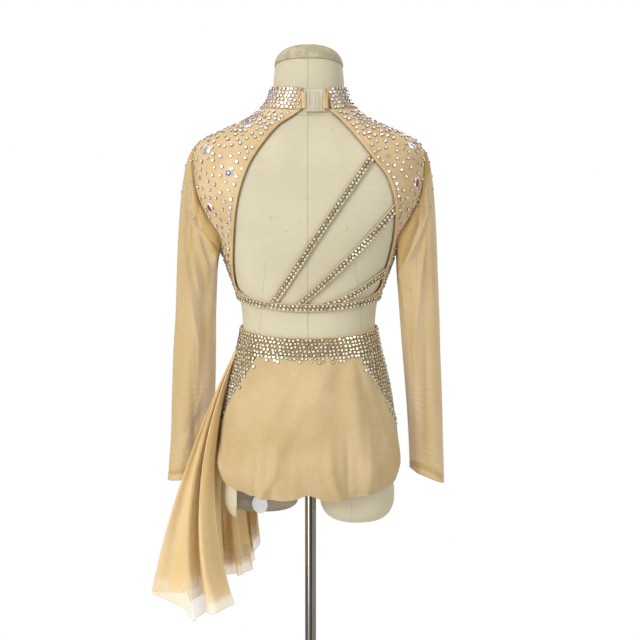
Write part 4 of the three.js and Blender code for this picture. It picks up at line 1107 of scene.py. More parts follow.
# Sheer sleeves: an armhole seam over the shoulder's end, then ovals down to a turned cuff
ringColumns = ("level", "across", "half", "forward", "depth")
sleeves = {
    "Left": {
        "sign": 1, "slant": 5, "cap": 0.3, "node": "sleeve_left",
        "rings": namedTable(
            ringColumns,
            (772, 206.5, 31.5, -31, 33), (840, 197, 35, -27, 34), (905, 193, 36.5, -21, 37),
            (985, 190, 35.5, -13, 41), (1050, 187, 33.5, -7, 44), (1120, 184, 33.5, -2, 46),
        ),
        "folds": namedTable(
            foldColumns,
            (1225, 300, 1085, 236, -7, 15), (1235, 268, 1150, 214, 5, 15),
            (1150, 268, 800, 285, 3.5, 17), (1060, 240, 830, 246, -4, 16),
            (1180, 100, 840, 78, -4.5, 18), (1080, 140, 800, 125, 3.5, 18),
            (1200, 30, 900, 18, -3, 16), (905, 200, 840, 300, -3, 24),
        ),
        "creases": namedTable(
            foldColumns,
            (1222, 300, 1150, 222, 4.2, 5.5), (1196, 268, 1128, 222, -4.6, 6),
            (1205, 318, 1000, 254, 3.2, 5), (1172, 300, 1020, 236, -2.6, 6),
            (1000, 276, 860, 262, -1.2, 7),
            (920, 240, 822, 288, 1.2, 8), (860, 262, 790, 246, -1.1, 7),
            (1100, 300, 930, 312, 1.2, 8), (1060, 90, 900, 60, -1.3, 8),
            (980, 130, 820, 112, 1.2, 8), (1180, 60, 1040, 84, 1.4, 8),
        ),
    },
    "Right": {
        "sign": -1, "slant": 13, "cap": 0.36, "node": "sleeve_right",
        "rings": namedTable(
            ringColumns,
            (775, 198, 29, -30, 33), (840, 195.5, 29, -25, 34), (905, 192, 30, -19, 37),
            (985, 186.5, 31.5, -12, 41), (1050, 182.5, 33, -6, 44), (1120, 178, 34, -2, 46),
        ),
        "folds": namedTable(
            foldColumns,
            (1230, 310, 1090, 238, -6, 16), (1215, 262, 1130, 215, 4.5, 15),
            (1130, 290, 840, 270, -4, 16), (1100, 252, 800, 240, 3.5, 16),
            (1170, 95, 850, 80, -4.5, 18), (1070, 135, 800, 128, 3.5, 18),
            (1190, 28, 880, 20, -3, 16),
        ),
        "creases": namedTable(
            foldColumns,
            (1214, 305, 1112, 216, 3.6, 5.5), (1196, 268, 1090, 206, -3.4, 6),
            (1160, 290, 1000, 246, 2.4, 6), (1120, 268, 990, 232, -2.0, 6),
            (980, 282, 840, 268, -1.2, 7),
            (900, 236, 812, 262, 1.1, 8), (1090, 310, 940, 318, 1.2, 8),
            (1050, 96, 890, 66, -1.3, 8), (960, 128, 810, 108, 1.2, 8),
        ),
    },
}
sleeveCut = {
    "columns": 120, "capRows": 46, "rows": 130, "capShare": 0.3, "creaseShare": 1.3,
    "slantReach": 60, "seamLift": 0.8, "seamRadius": 0.9, "cuffRadius": 0.5,
    "lining": {"cover": 0.3, "drop": 0.24, "from": 190, "over": 110, "ends": (150, 345)},
}


def sleeveSheet(side):
    cut = sleeves[side]
    rings, topLevel, cuff = cut["rings"], cut["rings"]["level"][-1], cut["rings"]["level"][0]

    def folds(level, turn):
        at = turn / degree
        creases = sleeveCut["creaseShare"] * foldHeight(cut["creases"], level, at)
        return foldHeight(cut["folds"], level, at) + creases

    def ringPoint(level, turn):
        across, half, forward, depth = (readTable(rings, name, level) for name in ringColumns[1:])
        fold = folds(level, turn)
        slant = cut["slant"] * np.maximum(0, 1 - (level - cuff) / sleeveCut["slantReach"])
        x = across + (half + fold) * np.cos(turn)
        y = forward - (depth + fold) * np.sin(turn)
        return np.stack([x, y, level - slant * np.cos(turn)], -1)

    def seamPoint(turn):  # just inside the armhole, more so under the arm
        low = (1 - np.cos(turn)) / 2
        level = armholeMiddle + armholeReach * np.cos(turn) - 1.6 + 6.2 * low
        open_ = armholeAngle(level)
        inset = angleFor(1.4 + 2 * low, open_, level)
        angle = -np.sign(np.sin(turn)) * np.maximum(open_ - inset, 0)
        return figurePoint(angle, level, sleeveCut["seamLift"])

    def capPoint(t, turn):  # a curve from the seam out and down to the first ring
        a, c = seamPoint(turn), ringPoint(np.full(np.shape(turn), topLevel), turn)
        b = a + (c - a) * [0.75, 0.6, 0]
        s = t[..., None]
        p = (1 - s) ** 2 * a + 2 * s * (1 - s) * b + s**2 * c
        lift = folds(p[..., 2], turn) * np.minimum(1, 3 * t) - t**2 * folds(topLevel, turn)
        p[..., 0] += lift * np.cos(turn)
        p[..., 1] -= lift * np.sin(turn)
        return p

    def sheet(u, v):
        turn = u * 2 * math.pi
        below = (v - sleeveCut["capShare"]) / (1 - sleeveCut["capShare"])
        tube = ringPoint(topLevel + (cuff - topLevel) * below, turn)
        cap = capPoint(np.clip(v / sleeveCut["capShare"], 0, 1), turn)
        p = np.where((below < 0)[..., None], cap, tube)
        p[..., 0] *= cut["sign"]
        return p

    return sheet, seamPoint


def toLowEdge(points):  # how far down the cloth each point's own column still runs
    lengths = np.linalg.norm(np.diff(points, axis=0), axis=-1)
    return np.concatenate([np.cumsum(lengths[::-1], 0)[::-1], np.zeros((1, points.shape[1]))])


def buildSleeves():
    cap = steps(sleeveCut["capRows"], 0, sleeveCut["capShare"])
    down = np.concatenate([cap, steps(sleeveCut["rows"], sleeveCut["capShare"], 1)[1:]])
    around, lining = steps(sleeveCut["columns"])[:-1], sleeveCut["lining"]
    u, v = np.meshgrid(around, down)
    for side, cut in sleeves.items():
        sheet, seamPoint = sleeveSheet(side)
        points = sheet(u, v)
        piece = sheetPiece("sleeve" + side, points, closed=True, flip=cut["sign"] < 0)
        storeValues(piece, "fromHem", toLowEdge(points))
        turn = u * 360  # the cap is doubled down to a curve that falls towards the armpit
        fall = np.clip((turn - lining["from"]) / lining["over"], 0, 1)
        doubledAndShaded = np.clip((cut["cap"] - lining["drop"] * fall - v) / 0.012, 0, 1)
        doubledAndShaded = doubledAndShaded * (turn > lining["ends"][0]) * (turn < lining["ends"][1])
        # the doubled cap is drawn more opaque and painted darker, a painted shade
        storeValues(piece, "gather", lining["cover"] * doubledAndShaded)
        settle(piece, "sleeve", [cut["node"]])
        seam = seamPoint(roundTurn(160)) * [cut["sign"], 1, 1]
        seam = tubeAlong("armholeSeam" + side, seam, sleeveCut["seamRadius"], closed=True)
        settle(seam, "seam")
        fold = sheet(around, np.full(around.shape, 0.999))
        fold = tubeAlong("cuffFold" + side, fold, sleeveCut["cuffRadius"], 6, closed=True)
        settle(fold, "seam")


buildSleeves()
print("sleeves built")


# The shorts: a waistband, stone-covered side pieces, and two bubble panels with a turned hem
sideSpread = namedTable(
    ("level", "spread"), (862, 2), (884, 14), (905, 23), (930, 33), (958, 42), (990, 50)
)
shorts = {
    "seatTop": 986.55, "hemShare": 0.14, "hemTurn": 0.62, "lowest": 740, "hem": 790,
    "hangFrom": 905, "creaseShare": 0.8, "sideColumns": 40,
    "rows": ((0, 0.13, 18), (0.14, 0.56, 54), (0.57, 1, 50)),
}
bubbleStand = namedTable(
    ("level", "middle", "side"),
    (740, 9, 0.6), (775, 13, 0.6), (800, 13, 0.8), (828, 9, 1.8), (850, 6.5, 1),
    (880, 4, 0.2), (930, 2.4, 0), (960, 1.2, 0), (990, 0, 0),
)
hanging = namedTable(
    ("level", "half", "front", "back"),
    (740, 139, 86, 97), (775, 139.8, 92, 103), (800, 140.6, 94, 106), (830, 141, 95, 108),
    (865, 141, 95, 108), (905, 136.5, 95, 104),
)
hemLine = namedTable(
    ("turn", "level", "tuck"),
    (0, 790, 0.4), (12, 788, 1), (27, 780, 3), (38, 773, 5), (57, 766, 10), (68, 761, 13),
    (80, 761, 15), (90, 771, 15),
)
bubbles = {
    "Back": {
        "facing": 1, "node": "bubble_back", "columns": 300,
        "folds": namedTable(
            foldColumns,
            (985, 64, 770, 30, -2.0, 9), (985, 72, 745, 58, 1.6, 9), (985, 84, 760, 80, -3.0, 9),
            (985, 97, 745, 98, 1.8, 9), (985, 106, 745, 111, -2.0, 8), (985, 114, 745, 128, 1.6, 9),
            (900, 146, 760, 138, -1.8, 8), (850, 176, 775, 152, 2.4, 6), (850, 3, 775, 26, 2.4, 6),
            (800, 66, 740, 68, -5.0, 4.5), (800, 118, 740, 119, -5.5, 4.5),
            (790, 44, 740, 45, -4.0, 4.5),
        ),
        "creases": namedTable(
            foldColumns,
            (985, 106, 836, 74, 3.4, 6.0), (860, 78, 750, 60, 2.4, 5.5),
            (985, 115, 820, 96, -1.2, 5.5),
            (985, 122, 780, 118, 3.0, 5), (942, 133, 820, 152, 1.3, 4), (985, 88, 862, 64, 1.0, 3),
            (985, 74, 880, 48, 0.9, 2.8), (880, 40, 800, 52, 0.8, 3.2),
            (880, 128, 770, 134, 1.0, 3.4),
            (852, 10, 800, 22, 1.2, 2.4), (846, 8, 790, 14, -1.0, 2.0),
            (850, 171, 802, 160, 1.2, 2.4),
            (842, 173, 792, 166, -1.0, 2.0), (930, 34, 850, 22, 0.8, 2.4),
            (925, 148, 852, 158, 0.8, 2.4),
            (800, 72, 742, 62, 4.5, 2.8), (798, 59, 744, 57, -4.0, 2.6),
            (802, 101, 742, 107, 5.0, 3.0),
            (800, 112, 742, 113, -4.5, 2.4), (796, 128, 745, 127, 2.6, 2.8),
            (790, 84, 745, 84, 2.4, 2.6),
        ),
    },
    "Front": {
        "facing": -1, "node": "bubble_front", "columns": 260,
        "folds": namedTable(
            foldColumns,
            (980, -68, 760, -44, -3.2, 7), (980, -82, 750, -78, 3.0, 7),
            (980, -98, 750, -96, -3.4, 7),
            (980, -110, 750, -122, 3.0, 7), (850, -8, 770, -28, 2.2, 7),
            (850, -172, 770, -150, 2.2, 7),
        ),
        "creases": namedTable(
            foldColumns,
            (980, -60, 840, -50, 0.9, 2.4), (980, -75, 800, -66, 1.1, 2.4),
            (980, -90, 790, -88, 1.1, 2.6),
            (980, -104, 820, -108, -0.9, 2.4), (980, -118, 850, -132, 0.9, 2.4),
            (850, -12, 795, -20, 1.1, 2.4), (850, -168, 795, -160, 1.1, 2.4),
        ),
    },
}


def sideAngle(level):
    return readTable(sideSpread, "spread", level) * degree


def bubbleSheet(facing, folds, creases):
    depthColumn = "back" if facing > 0 else "front"
    hem, lowest, hip = shorts["hem"], shorts["lowest"], body["hipPoint"]
    seatTop, hemShare, hemTurn = shorts["seatTop"], shorts["hemShare"], shorts["hemTurn"] * math.pi

    def hung(column, level):  # below the hip the cloth hangs free of the figure
        low, high = readTable(hanging, column, level), readTable(figure, column, level)
        return np.where(level < shorts["hangFrom"], low, high)

    def skin(angle, level):
        x, y = ovalPoint(hung("half", level), hung(depthColumn, level), angle)
        height = ringHeight(np.maximum(level, hem), angle) + np.minimum(level - hem, 0)
        return np.stack([x, y, height], -1)

    def sheet(u, v):
        u, v = np.broadcast_arrays(np.asarray(u, float), np.asarray(v, float))
        above = np.maximum((v - hemShare) / (1 - hemShare), 0) * 2
        high = hip + (seatTop - hip) * (above - 1)
        plain = np.where(above > 1, high, lowest + (hip - lowest) * above)
        edge = sideAngle(plain) * np.clip(1 + (plain - hip) / 14, 0, 1)
        seam = edge + angleFor(body["seamGap"] / 2, edge, np.maximum(plain, 800)) + 0.001
        within = seam + (math.pi - 2 * seam) * u
        angle = within if facing > 0 else within - math.pi
        fromSide = np.minimum(within, math.pi - within) / degree
        drop = np.maximum(0, (hip - plain) / (hip - lowest))
        level = plain + drop**2 * (readTable(hemLine, "level", fromSide) - lowest)
        middle, side = (readTable(bubbleStand, column, plain) for column in ("middle", "side"))
        held = np.exp(-((fromSide / 11) ** 2))
        ease = np.minimum(1, (seatTop - plain) / 40)
        calm = 1 - np.exp(-((fromSide / 7) ** 2))
        fold = foldHeight(folds, plain, angle / degree) * ease * calm
        crease = foldHeight(creases, plain, angle / degree) * np.minimum(1, ease * 2) * calm
        stand = np.maximum(middle + (side - middle) * held + fold, -0.3)
        stand = stand + shorts["creaseShare"] * crease
        p = skin(angle, level)
        p = p + stand[..., None] * normalOf(skin, angle, level, 0.02, 2)
        turned = np.maximum(0, 1 - v / hemShare)  # the hem turns in under itself
        tuck = readTable(hemLine, "tuck", fromSide)
        swing = turned * hemTurn
        inwards = tuck * (1 - np.cos(swing)) / (1 - math.cos(hemTurn))
        p[..., :2] -= unit(p[..., :2]) * inwards[..., None]
        p[..., 2] += 0.45 * tuck * turned**2 - 0.35 * tuck * np.sin(swing)
        p[..., 2] -= (14 - tuck) * 0.45 * turned
        return p

    return sheet


def buildShorts():
    levels = np.linspace(body["hipPoint"] + 1, shorts["seatTop"], 40)
    wide = sideAngle(levels)
    for side, middle in (("Left", 0.0), ("Right", math.pi)):
        angles = spread(middle - wide, middle + wide, shorts["sideColumns"], levels)
        piece = figureWall("sidePiece" + side, angles, levels)
        settle(piece, "stoneShaded", ["side_piece_" + side.lower()])
    sheets = {}
    down = np.concatenate([np.linspace(*ends) for ends in shorts["rows"]])
    for side, cut in bubbles.items():
        sheet = bubbleSheet(cut["facing"], cut["folds"], cut["creases"])
        u, v = np.meshgrid(steps(cut["columns"]), down)
        outer = lifted(sheet, 0.004, 0.004)(u, v, body["clothWall"])
        piece = wallPiece("bubble" + side, sheet(u, v), outer)
        settle(piece, "crepe", [cut["node"]])
        sheets[side] = sheet
    return sheets


def buildGusset(sheets):
    backEdge, frontEdge = sheets["Back"](0.47, 0.0), sheets["Front"](0.53, 0.0)
    route = namedTable(
        ("share", "y", "z", "left", "right"),
        (0, backEdge[1] - 0.7, backEdge[2], 17, 9), (0.2, 58, 757, 17, 9),
        (0.4, 24, 763, 15.8, 9), (0.6, -16, 763, 15.8, 9), (0.8, -48, 757, 17, 9),
        (1, frontEdge[1] + 1.5, frontEdge[2], 17, 9),
    )
    u, v = np.meshgrid(steps(12), steps(90))
    y, z, left, right = (readTable(route, column, 1 - v) for column in ("y", "z", "left", "right"))
    points = np.stack([right + (left - right) * u, y, z], -1)
    piece = wallPiece("crotchGusset", points, points + [0, 0, body["clothWall"]])
    settle(piece, "knit", ["gusset"])


buildGusset(buildShorts())
print("shorts built")


# The side drape: one length of tulle gathered at the left hip, falling in flutes
drape = {
    "top": 984, "mid": 862, "perFold": 14, "rows": 120, "roundness": 0.62, "ripple": 1.7,
    "topSlope": 0.35, "topLift": 2.4, "cover": 0.42, "covered": (12, 10), "gathered": 0.12,
    # the under layer's extra gather also paints it darker, a painted shade
    # the valley share paints a shaded flute valley lighter, a painted light
    "pleats": 0.05, "valley": 0.2, "doubledAndShaded": 0.14, "single": 0.22,
}
drapeFolds = namedTable(
    ("topTurn", "midX", "midY", "hemX", "hemY", "hemZ"),
    (13, 148, 37, 122, 54, 575), (11, 161, 57, 155, 98, 570), (8.5, 160, 40, 171, 48, 560),
    (6.5, 170, 54, 187, 98, 560), (4, 167, 32, 209, 44, 567), (1.5, 178, 28, 260, 26, 586),
    (-1, 158, 13, 211, -4, 578), (-3.5, 154, 0, 242, -56, 573), (-6, 150, -14, 190, -42, 578),
    (-9, 151, -32, 198, -102, 574), (-12, 144, -46, 150, -72, 580), (-15, 144, -68, 146, -132, 578),
    (-18, 129, -78, 115, -100, 586), (-21, 119, -99, 96, -136, 604),
    (-24, 101, -104, 90, -112, 668),
)


def drapePoint(u, v):
    f = drapeFolds
    turn = f["topTurn"]
    topLevel = drape["top"] - np.abs(turn) * drape["topSlope"]
    start = figurePoint(turn * degree, topLevel, drape["topLift"])
    mid = np.stack([f["midX"], f["midY"], np.full(turn.shape, drape["mid"])], -1)
    hem = np.stack([f["hemX"], f["hemY"], f["hemZ"]], -1)
    drop = ((start[:, 2] - mid[:, 2]) / (start[:, 2] - hem[:, 2]))[:, None]
    bend = (mid - (1 - drop) ** 2 * start - drop**2 * hem) / (2 * drop * (1 - drop))
    count = len(turn) - 1
    place = np.clip(u, 0, 1) * count
    i = np.minimum(np.floor(place).astype(int), count - 1)
    t = (place - i)[..., None]
    s = v[..., None]

    def foldLine(k):
        k = np.clip(k, 0, count)
        return (1 - s) ** 2 * start[k] + 2 * s * (1 - s) * bend[k] + s**2 * hem[k]

    def crestWay(k):  # folds turn round at their crests, so that the flutes are round
        return drape["roundness"] * (foldLine(k + 1) - foldLine(k - 1))

    near, far = foldLine(i), foldLine(i + 1)
    rise, first, last = far - near, crestWay(i), crestWay(i + 1)
    return near + t * (first + t * (3 * rise - 2 * first - last + t * (first + last - 2 * rise)))


def drapeRipple(u, v):  # fine waves between the flutes, and small pleats at the inner end
    ripple = np.sin(u * 151 + 2.2 * v) * 0.5 + np.sin(u * 83 - 5 * v + 1) * 0.5
    ripple = ripple + 0.9 * v * np.sin(u * 127 + 0.5) * np.clip((0.52 - u) / 0.06, 0, 1)
    return ripple + 3.2 * v * np.sin(u * 42 * math.pi) * np.clip((u - 0.7) / 0.1, 0, 1)


# Places where the tulle lies double or is gathered are drawn more opaque and painted darker, a
# painted shade
def drapeGather(u, v, toHem, isUnder):  # where the tulle lies double or is gathered
    ends = np.clip((u - 0.5) / 0.06, 0, 1) + np.clip((0.13 - u) / 0.04, 0, 1)
    outer = np.exp(-(((u - 0.37) / 0.035) ** 2))  # the outermost flute is a single fold
    pleats = np.sin(u * 172 + 0.7 * np.sin(u * 41)) + 0.7 * np.sin(u * 263 + 1.3)
    hemGap, fade = drape["covered"]
    gather = drape["cover"] * ends * np.clip((toHem - hemGap) / fade, 0, 1)
    gather = gather + drape["gathered"] * np.clip(1 - v * 1.6, 0, 1) + drape["pleats"] * pleats
    # One flute valley, a fifth of the way along, gets less cover and a lighter tint: painted light
    # over its shade
    valley = np.exp(-(((u - 0.19) / 0.04) ** 2)) * np.clip(v * 2, 0, 1)
    under = (drape["doubledAndShaded"] - drape["single"] * outer) * isUnder
    return gather - drape["valley"] * valley + under


def buildDrape(name, lift, length):  # the under layer is cut shorter
    count = (len(drapeFolds["topTurn"]) - 1) * drape["perFold"]
    u, v = np.meshgrid(steps(count), steps(drape["rows"], 0, length))
    ease = np.minimum(v * 3, 1) * np.minimum(1, np.minimum(u, 1 - u) * 30)
    out = drapeRipple(u, v) * ease * drape["ripple"] + lift * np.minimum(v * 6, 1)
    points = drapePoint(u, v) + normalOf(drapePoint, u, v, 0.002, 0.002) * out[..., None]
    piece = sheetPiece(name, points, flip=True)
    toHem = toLowEdge(points)
    along = np.linalg.norm(np.diff(points, axis=1), axis=-1)
    fromStart = np.concatenate([np.zeros((drape["rows"] + 1, 1)), np.cumsum(along, 1)], 1)
    toSide = np.minimum(fromStart, fromStart[:, -1:] - fromStart)
    storeValues(piece, "fromHem", np.minimum(toHem, toSide))
    storeValues(piece, "gather", drapeGather(u, v, toHem, lift != 0))
    settle(piece, "tulle", ["side_drape"])


buildDrape("sideDrape", 0, 1)
buildDrape("sideDrapeUnder", -2.2, 0.93)
print("drape built")


# Geometry Nodes trees that set stones and sew stitches on a piece's marked points
def newTree(name, inputs):
    tree = bpy.data.node_groups.new(name, "GeometryNodeTree")
    tree.interface.new_socket("Geometry", in_out="INPUT", socket_type="NodeSocketGeometry")
    sockets = {}
    for label, (kind, value) in inputs.items():
        socket = tree.interface.new_socket(label, in_out="INPUT", socket_type="NodeSocket" + kind)
        if value is not None:
            socket.default_value = value
        sockets[label] = socket.identifier
    tree.interface.new_socket("Geometry", in_out="OUTPUT", socket_type="NodeSocketGeometry")
    return tree, sockets, addNode(tree, "NodeGroupInput").outputs


def randomNumber(tree, low, high, seed, kind="FLOAT"):
    node = addNode(tree, "FunctionNodeRandomValue", {"data_type": kind})
    first, last, out = {"FLOAT": (2, 3, 1), "FLOAT_VECTOR": (0, 1, 0)}[kind]
    node.inputs[first].default_value, node.inputs[last].default_value = low, high
    tree.links.new(seed, node.inputs["Seed"])
    return node.outputs[out]


def storeOn(tree, geometry, value, name, domain):
    settings = {"data_type": "FLOAT", "domain": domain, "Name": name}
    links = {"Geometry": geometry, "Value": value}
    return addNode(tree, "GeometryNodeStoreNamedAttribute", settings, links).outputs[0]


def readFrom(tree, name, kind):
    settings = {"data_type": kind, "Name": name}
    return addNode(tree, "GeometryNodeInputNamedAttribute", settings).outputs[0]


def faceOutwards(tree):  # turns each instance's own Z along the way that its point faces
    links = {"Vector": readFrom(tree, "facing", "FLOAT_VECTOR")}
    return addNode(tree, "FunctionNodeAlignRotationToVector", {"axis": "Z"}, links).outputs[0]


def finishTree(tree, given, shape, rotation):
    links = {
        "Points": given["Geometry"], "Instance": shape, "Rotation": rotation,
        "Scale": readFrom(tree, "size", "FLOAT"),
    }
    placed = addNode(tree, "GeometryNodeInstanceOnPoints", None, links).outputs[0]
    draw = randomNumber(tree, 0.0, 1.0, given["Seed"])
    marked = storeOn(tree, placed, draw, "stone", "INSTANCE")
    real = addNode(tree, "GeometryNodeRealizeInstances", None, {"Geometry": marked}).outputs[0]
    draw = randomNumber(tree, 0.0, 1.0, given["Seed"])
    faced = storeOn(tree, real, draw, "facet", "FACE")
    links = {"Geometry": faced, "Material": given["Material"]}
    done = addNode(tree, "GeometryNodeSetMaterial", None, links).outputs[0]
    addNode(tree, "NodeGroupOutput", None, {"Geometry": done})


def makeStoneTree():  # sizes are shares of the stone's radius
    tree, sockets, given = newTree("stoneSetting", {
        "Sides": ("Int", 8), "Girdle": ("Float", 1.0), "Crown": ("Float", 0.9),
        "Table": ("Float", 0.66), "Crown Height": ("Float", 0.42),
        "Table Height": ("Float", 0.66), "Seed": ("Int", 1), "Material": ("Material", None),
    })
    both = addNode(tree, "GeometryNodeJoinGeometry")
    for radius, height in (("Girdle", None), ("Crown", "Crown Height"), ("Table", "Table Height")):
        links = {"Vertices": given["Sides"], "Radius": given[radius]}
        ring = addNode(tree, "GeometryNodeMeshCircle", None, links).outputs[0]
        if height:
            lift = addNode(tree, "ShaderNodeCombineXYZ", None, {2: given[height]}).outputs[0]
            links = {"Geometry": ring, "Translation": lift}
            ring = addNode(tree, "GeometryNodeTransform", None, links).outputs[0]
        tree.links.new(ring, both.inputs[0])
    hull = addNode(tree, "GeometryNodeConvexHull", None, {"Geometry": both.outputs[0]}).outputs[0]
    place = addNode(tree, "GeometryNodeInputPosition").outputs[0]
    height = addNode(tree, "ShaderNodeSeparateXYZ", None, {0: place}).outputs[2]
    isTop = asMath(tree, "GREATER_THAN", height, times(tree, given["Table Height"], 0.95))
    shape = storeOn(tree, hull, isTop, "table", "FACE")
    spin = randomNumber(tree, (0, 0, 0), (0, 0, 6.28), given["Seed"], "FLOAT_VECTOR")
    links = {"Rotation": faceOutwards(tree), "Rotate By": spin}
    settings = {"rotation_space": "LOCAL"}
    rotation = addNode(tree, "FunctionNodeRotateRotation", settings, links).outputs[0]
    finishTree(tree, given, shape, rotation)
    return tree, sockets


def makeStitchTree():  # sizes in metres
    tree, sockets, given = newTree("stitchRow", {
        "Sides": ("Int", 5), "Thread": ("Float", 0.0003), "Length": ("Float", 0.0019),
        "Seed": ("Int", 1), "Material": ("Material", None),
    })
    links = {"Vertices": given["Sides"], "Radius": given["Thread"], "Depth": given["Length"]}
    shape = addNode(tree, "GeometryNodeMeshCylinder", None, links).outputs[0]
    finishTree(tree, given, shape, faceOutwards(tree))
    return tree, sockets


growers = {"stone": makeStoneTree(), "stitch": makeStitchTree()}


def growOn(name, points, facing, sizes, kind, material, seed=1):  # points in metres
    tree, sockets = growers[kind]
    piece = linkMesh(name, np.asarray(points) / mm, [], smooth=False)
    storeValues(piece, "size", sizes)
    attribute = piece.data.attributes.new("facing", "FLOAT_VECTOR", "POINT")
    attribute.data.foreach_set("vector", np.asarray(facing, np.float32).ravel())
    grow = piece.modifiers.new("grow", "NODES")
    grow.node_group = tree
    grow[sockets["Seed"]] = seed
    grow[sockets["Material"]] = looks[material]
    settle(baked(piece), None)


def castTree(*names):
    vertices, polygons = [], []
    for name in names:
        mesh = bpy.data.objects[name].data
        first = len(vertices)
        vertices += [v.co.copy() for v in mesh.vertices]
        polygons += [[i + first for i in face.vertices] for face in mesh.polygons]
    return BVHTree.FromPolygons(vertices, polygons)


def snapTo(tree, points, facing, reach=14):  # points in millimetres, moved on to the cloth
    found, normals = [], []
    for point, way in zip(points, facing):
        start = Vector((point + way * reach) * mm)
        place, normal = tree.ray_cast(start, Vector(-way), 2 * reach * mm)[:2]
        if place is not None and normal.dot(Vector(way)) > 0.25:
            found.append(place + normal * -0.0001)
            normals.append(normal)
    return np.array(found), np.array(normals)


def thinned(points, gaps):  # keeps each point that stands clear of those kept before it
    kept = []
    for i, point in enumerate(points):
        if not kept or np.min(np.linalg.norm(points[kept] - point, axis=1)) > gaps[i]:
            kept.append(i)
    return kept


# Flat-backed stones: radii in millimetres, and the pitch and places that they are set at
stones = {
    "small": (1.7, 2.3), "band": (2.9, 3.2), "yoke": (2.6, 3.7), "dense": (2.9, 3.6),
    "widePitch": 6.6, "closePitch": 5.9, "bandPitch": 6.7, "bandSide": 2.6, "bandShift": 0.8,
    "rowShare": 0.87, "seamGap": 3.5, "sideField": 34, "thrown": (1075, 1376),
}
fields = {
    "yoke": {"tries": 9000, "margin": 8.1, "edgeWidth": 7, "edgePitch": 8.6},
    "front": {"tries": 16000, "thinner": 1.1},
    "collar": {"low": 3.4, "high": 33, "inset": 2.4 / 62, "stray": 1.0},
    "strap": {"lift": 2.0, "inset": 2.4, "stray": 0.3},
    "waist": {"inset": 5, "low": 866, "stray": 1.15, "ragged": 12, "raggedSide": 9},
    "sleeve": {"tries": 900, "share": (0.012, 0.2), "low": 1185, "gap": 13, "thinner": 60},
}
yokePitch = namedTable(
    ("level", "pitch"),
    (1075, 6.0), (1120, 6.4), (1150, 7.6), (1180, 9.6), (1215, 11.2), (1250, 12.6), (1290, 12),
    (1320, 10), (1340, 8.2), (1355, 7), (1368, 6.2), (1380, 5.8),
)
stoneDraw = np.random.default_rng(11)


def radii(kind, points):  # stones never run into each other
    low, high = stones[kind]
    drawn = stoneDraw.uniform(low, high, len(points))
    gaps = np.linalg.norm(points[:, None] - points[None], axis=-1) / mm + 99 * np.eye(len(points))
    return np.minimum(drawn, np.maximum(gaps.min(1) / 2, low * 0.72)) * mm


def figureStones(name, cast, angle, level, kind, material, seed):
    points = figurePoint(angle, level, 1.2)
    facing = normalOf(figureSkin, angle, level, 0.02, 1.5)
    points, normals = snapTo(cast, points, facing)
    growOn(name, points, normals, radii(kind, points), "stone", material, seed)


def alongRow(start, end, level, pitch, offset, stray):  # angles of one row round the figure
    angles = np.linspace(start, end, 700)
    length = runAlong(figureSkin(angles, level))
    places = np.arange(offset, length[-1] - 1.5, pitch)
    places = places + stoneDraw.uniform(-stray, stray, len(places))
    return np.interp(places, length, angles)


def rowsOfStones(start, end, levels, pitch, stray):
    angle, level = [], []
    for i, at in enumerate(levels):
        row = alongRow(start, end, at, pitch, 2.5 + (i % 2) * pitch / 2, stray)
        angle.append(row)
        level.append(at + stoneDraw.uniform(-stray, stray, len(row)))
    return np.concatenate(angle), np.concatenate(level)


def throwStones(tries, angleEnds, allowed, pitchAt):
    angle = stoneDraw.uniform(*angleEnds, tries)
    level = stoneDraw.uniform(*stones["thrown"], tries)
    fine = allowed(angle, level)
    angle, level = angle[fine], level[fine]
    kept = thinned(figureSkin(angle, level), pitchAt(angle, level))
    return angle[kept], level[kept]


def arc(fromAngle, toAngle, level):  # the distance round the figure between two angles
    middle = (fromAngle + toAngle) / 2
    return np.abs(toAngle - fromAngle) / np.maximum(angleFor(1.0, middle, level), 1e-6)


def pastArmhole(fromSide, level):  # how far a place lies inside the armhole's seam
    open_ = armholeAngle(level)
    return arc(open_, fromSide, level) * np.sign(fromSide - open_)


def setYokeStones():
    field = fields["yoke"]
    margin = field["margin"]
    for side, opening, sign in (("Left", leftOpening, 1), ("Right", rightOpening, -1)):
        def edgeGap(angle, level):
            return arc(angle, opening(level), level) * np.sign(sign * (opening(level) - angle))

        def allowed(angle, level):
            inside = pastArmhole(angle if sign > 0 else math.pi - angle, level) > stones["seamGap"]
            return (edgeGap(angle, level) > margin) & inside

        def pitchAt(angle, level):
            pitch = readTable(yokePitch, "pitch", level)
            atEdge = edgeGap(angle, level) < margin + field["edgeWidth"]
            return np.where(atEdge, np.minimum(pitch, field["edgePitch"]), pitch)

        ends = (0, math.pi / 2) if sign > 0 else (math.pi / 2, math.pi)
        places = throwStones(field["tries"], ends, allowed, pitchAt)
        cast = castTree("bodiceBack" + side)
        figureStones("yokeStones" + side, cast, *places, "yoke", "clear", 3 + sign)


def setFrontStones():
    def allowed(angle, level):
        return pastArmhole(np.minimum(-angle, math.pi + angle), level) > stones["seamGap"]

    def pitchAt(angle, level):
        return readTable(yokePitch, "pitch", level) * fields["front"]["thinner"]

    places = throwStones(fields["front"]["tries"], (-math.pi, 0), allowed, pitchAt)
    figureStones("frontStones", castTree("bodiceFront"), *places, "yoke", "clear", 9)


def setCollarStones():
    field, pitch, seam = fields["collar"], stones["widePitch"], body["collarSeam"]
    levels = np.arange(seam + field["low"], seam + field["high"], pitch * stones["rowShare"])
    places = rowsOfStones(*collarEnds(field["inset"]), levels, pitch, field["stray"])
    figureStones("collarStones", castTree("collarStand"), *places, "dense", "clear", 5)


def setBandStones():
    middle = body["bandTop"] - body["bandHeight"] / 2
    levels = middle + np.array([-1, 1]) * stones["bandSide"]
    places = rowsOfStones(0, 2 * math.pi, levels, stones["bandPitch"], 0.35)
    figureStones("bandStones", castTree("underbustBand"), *places, "band", "golden", 6)


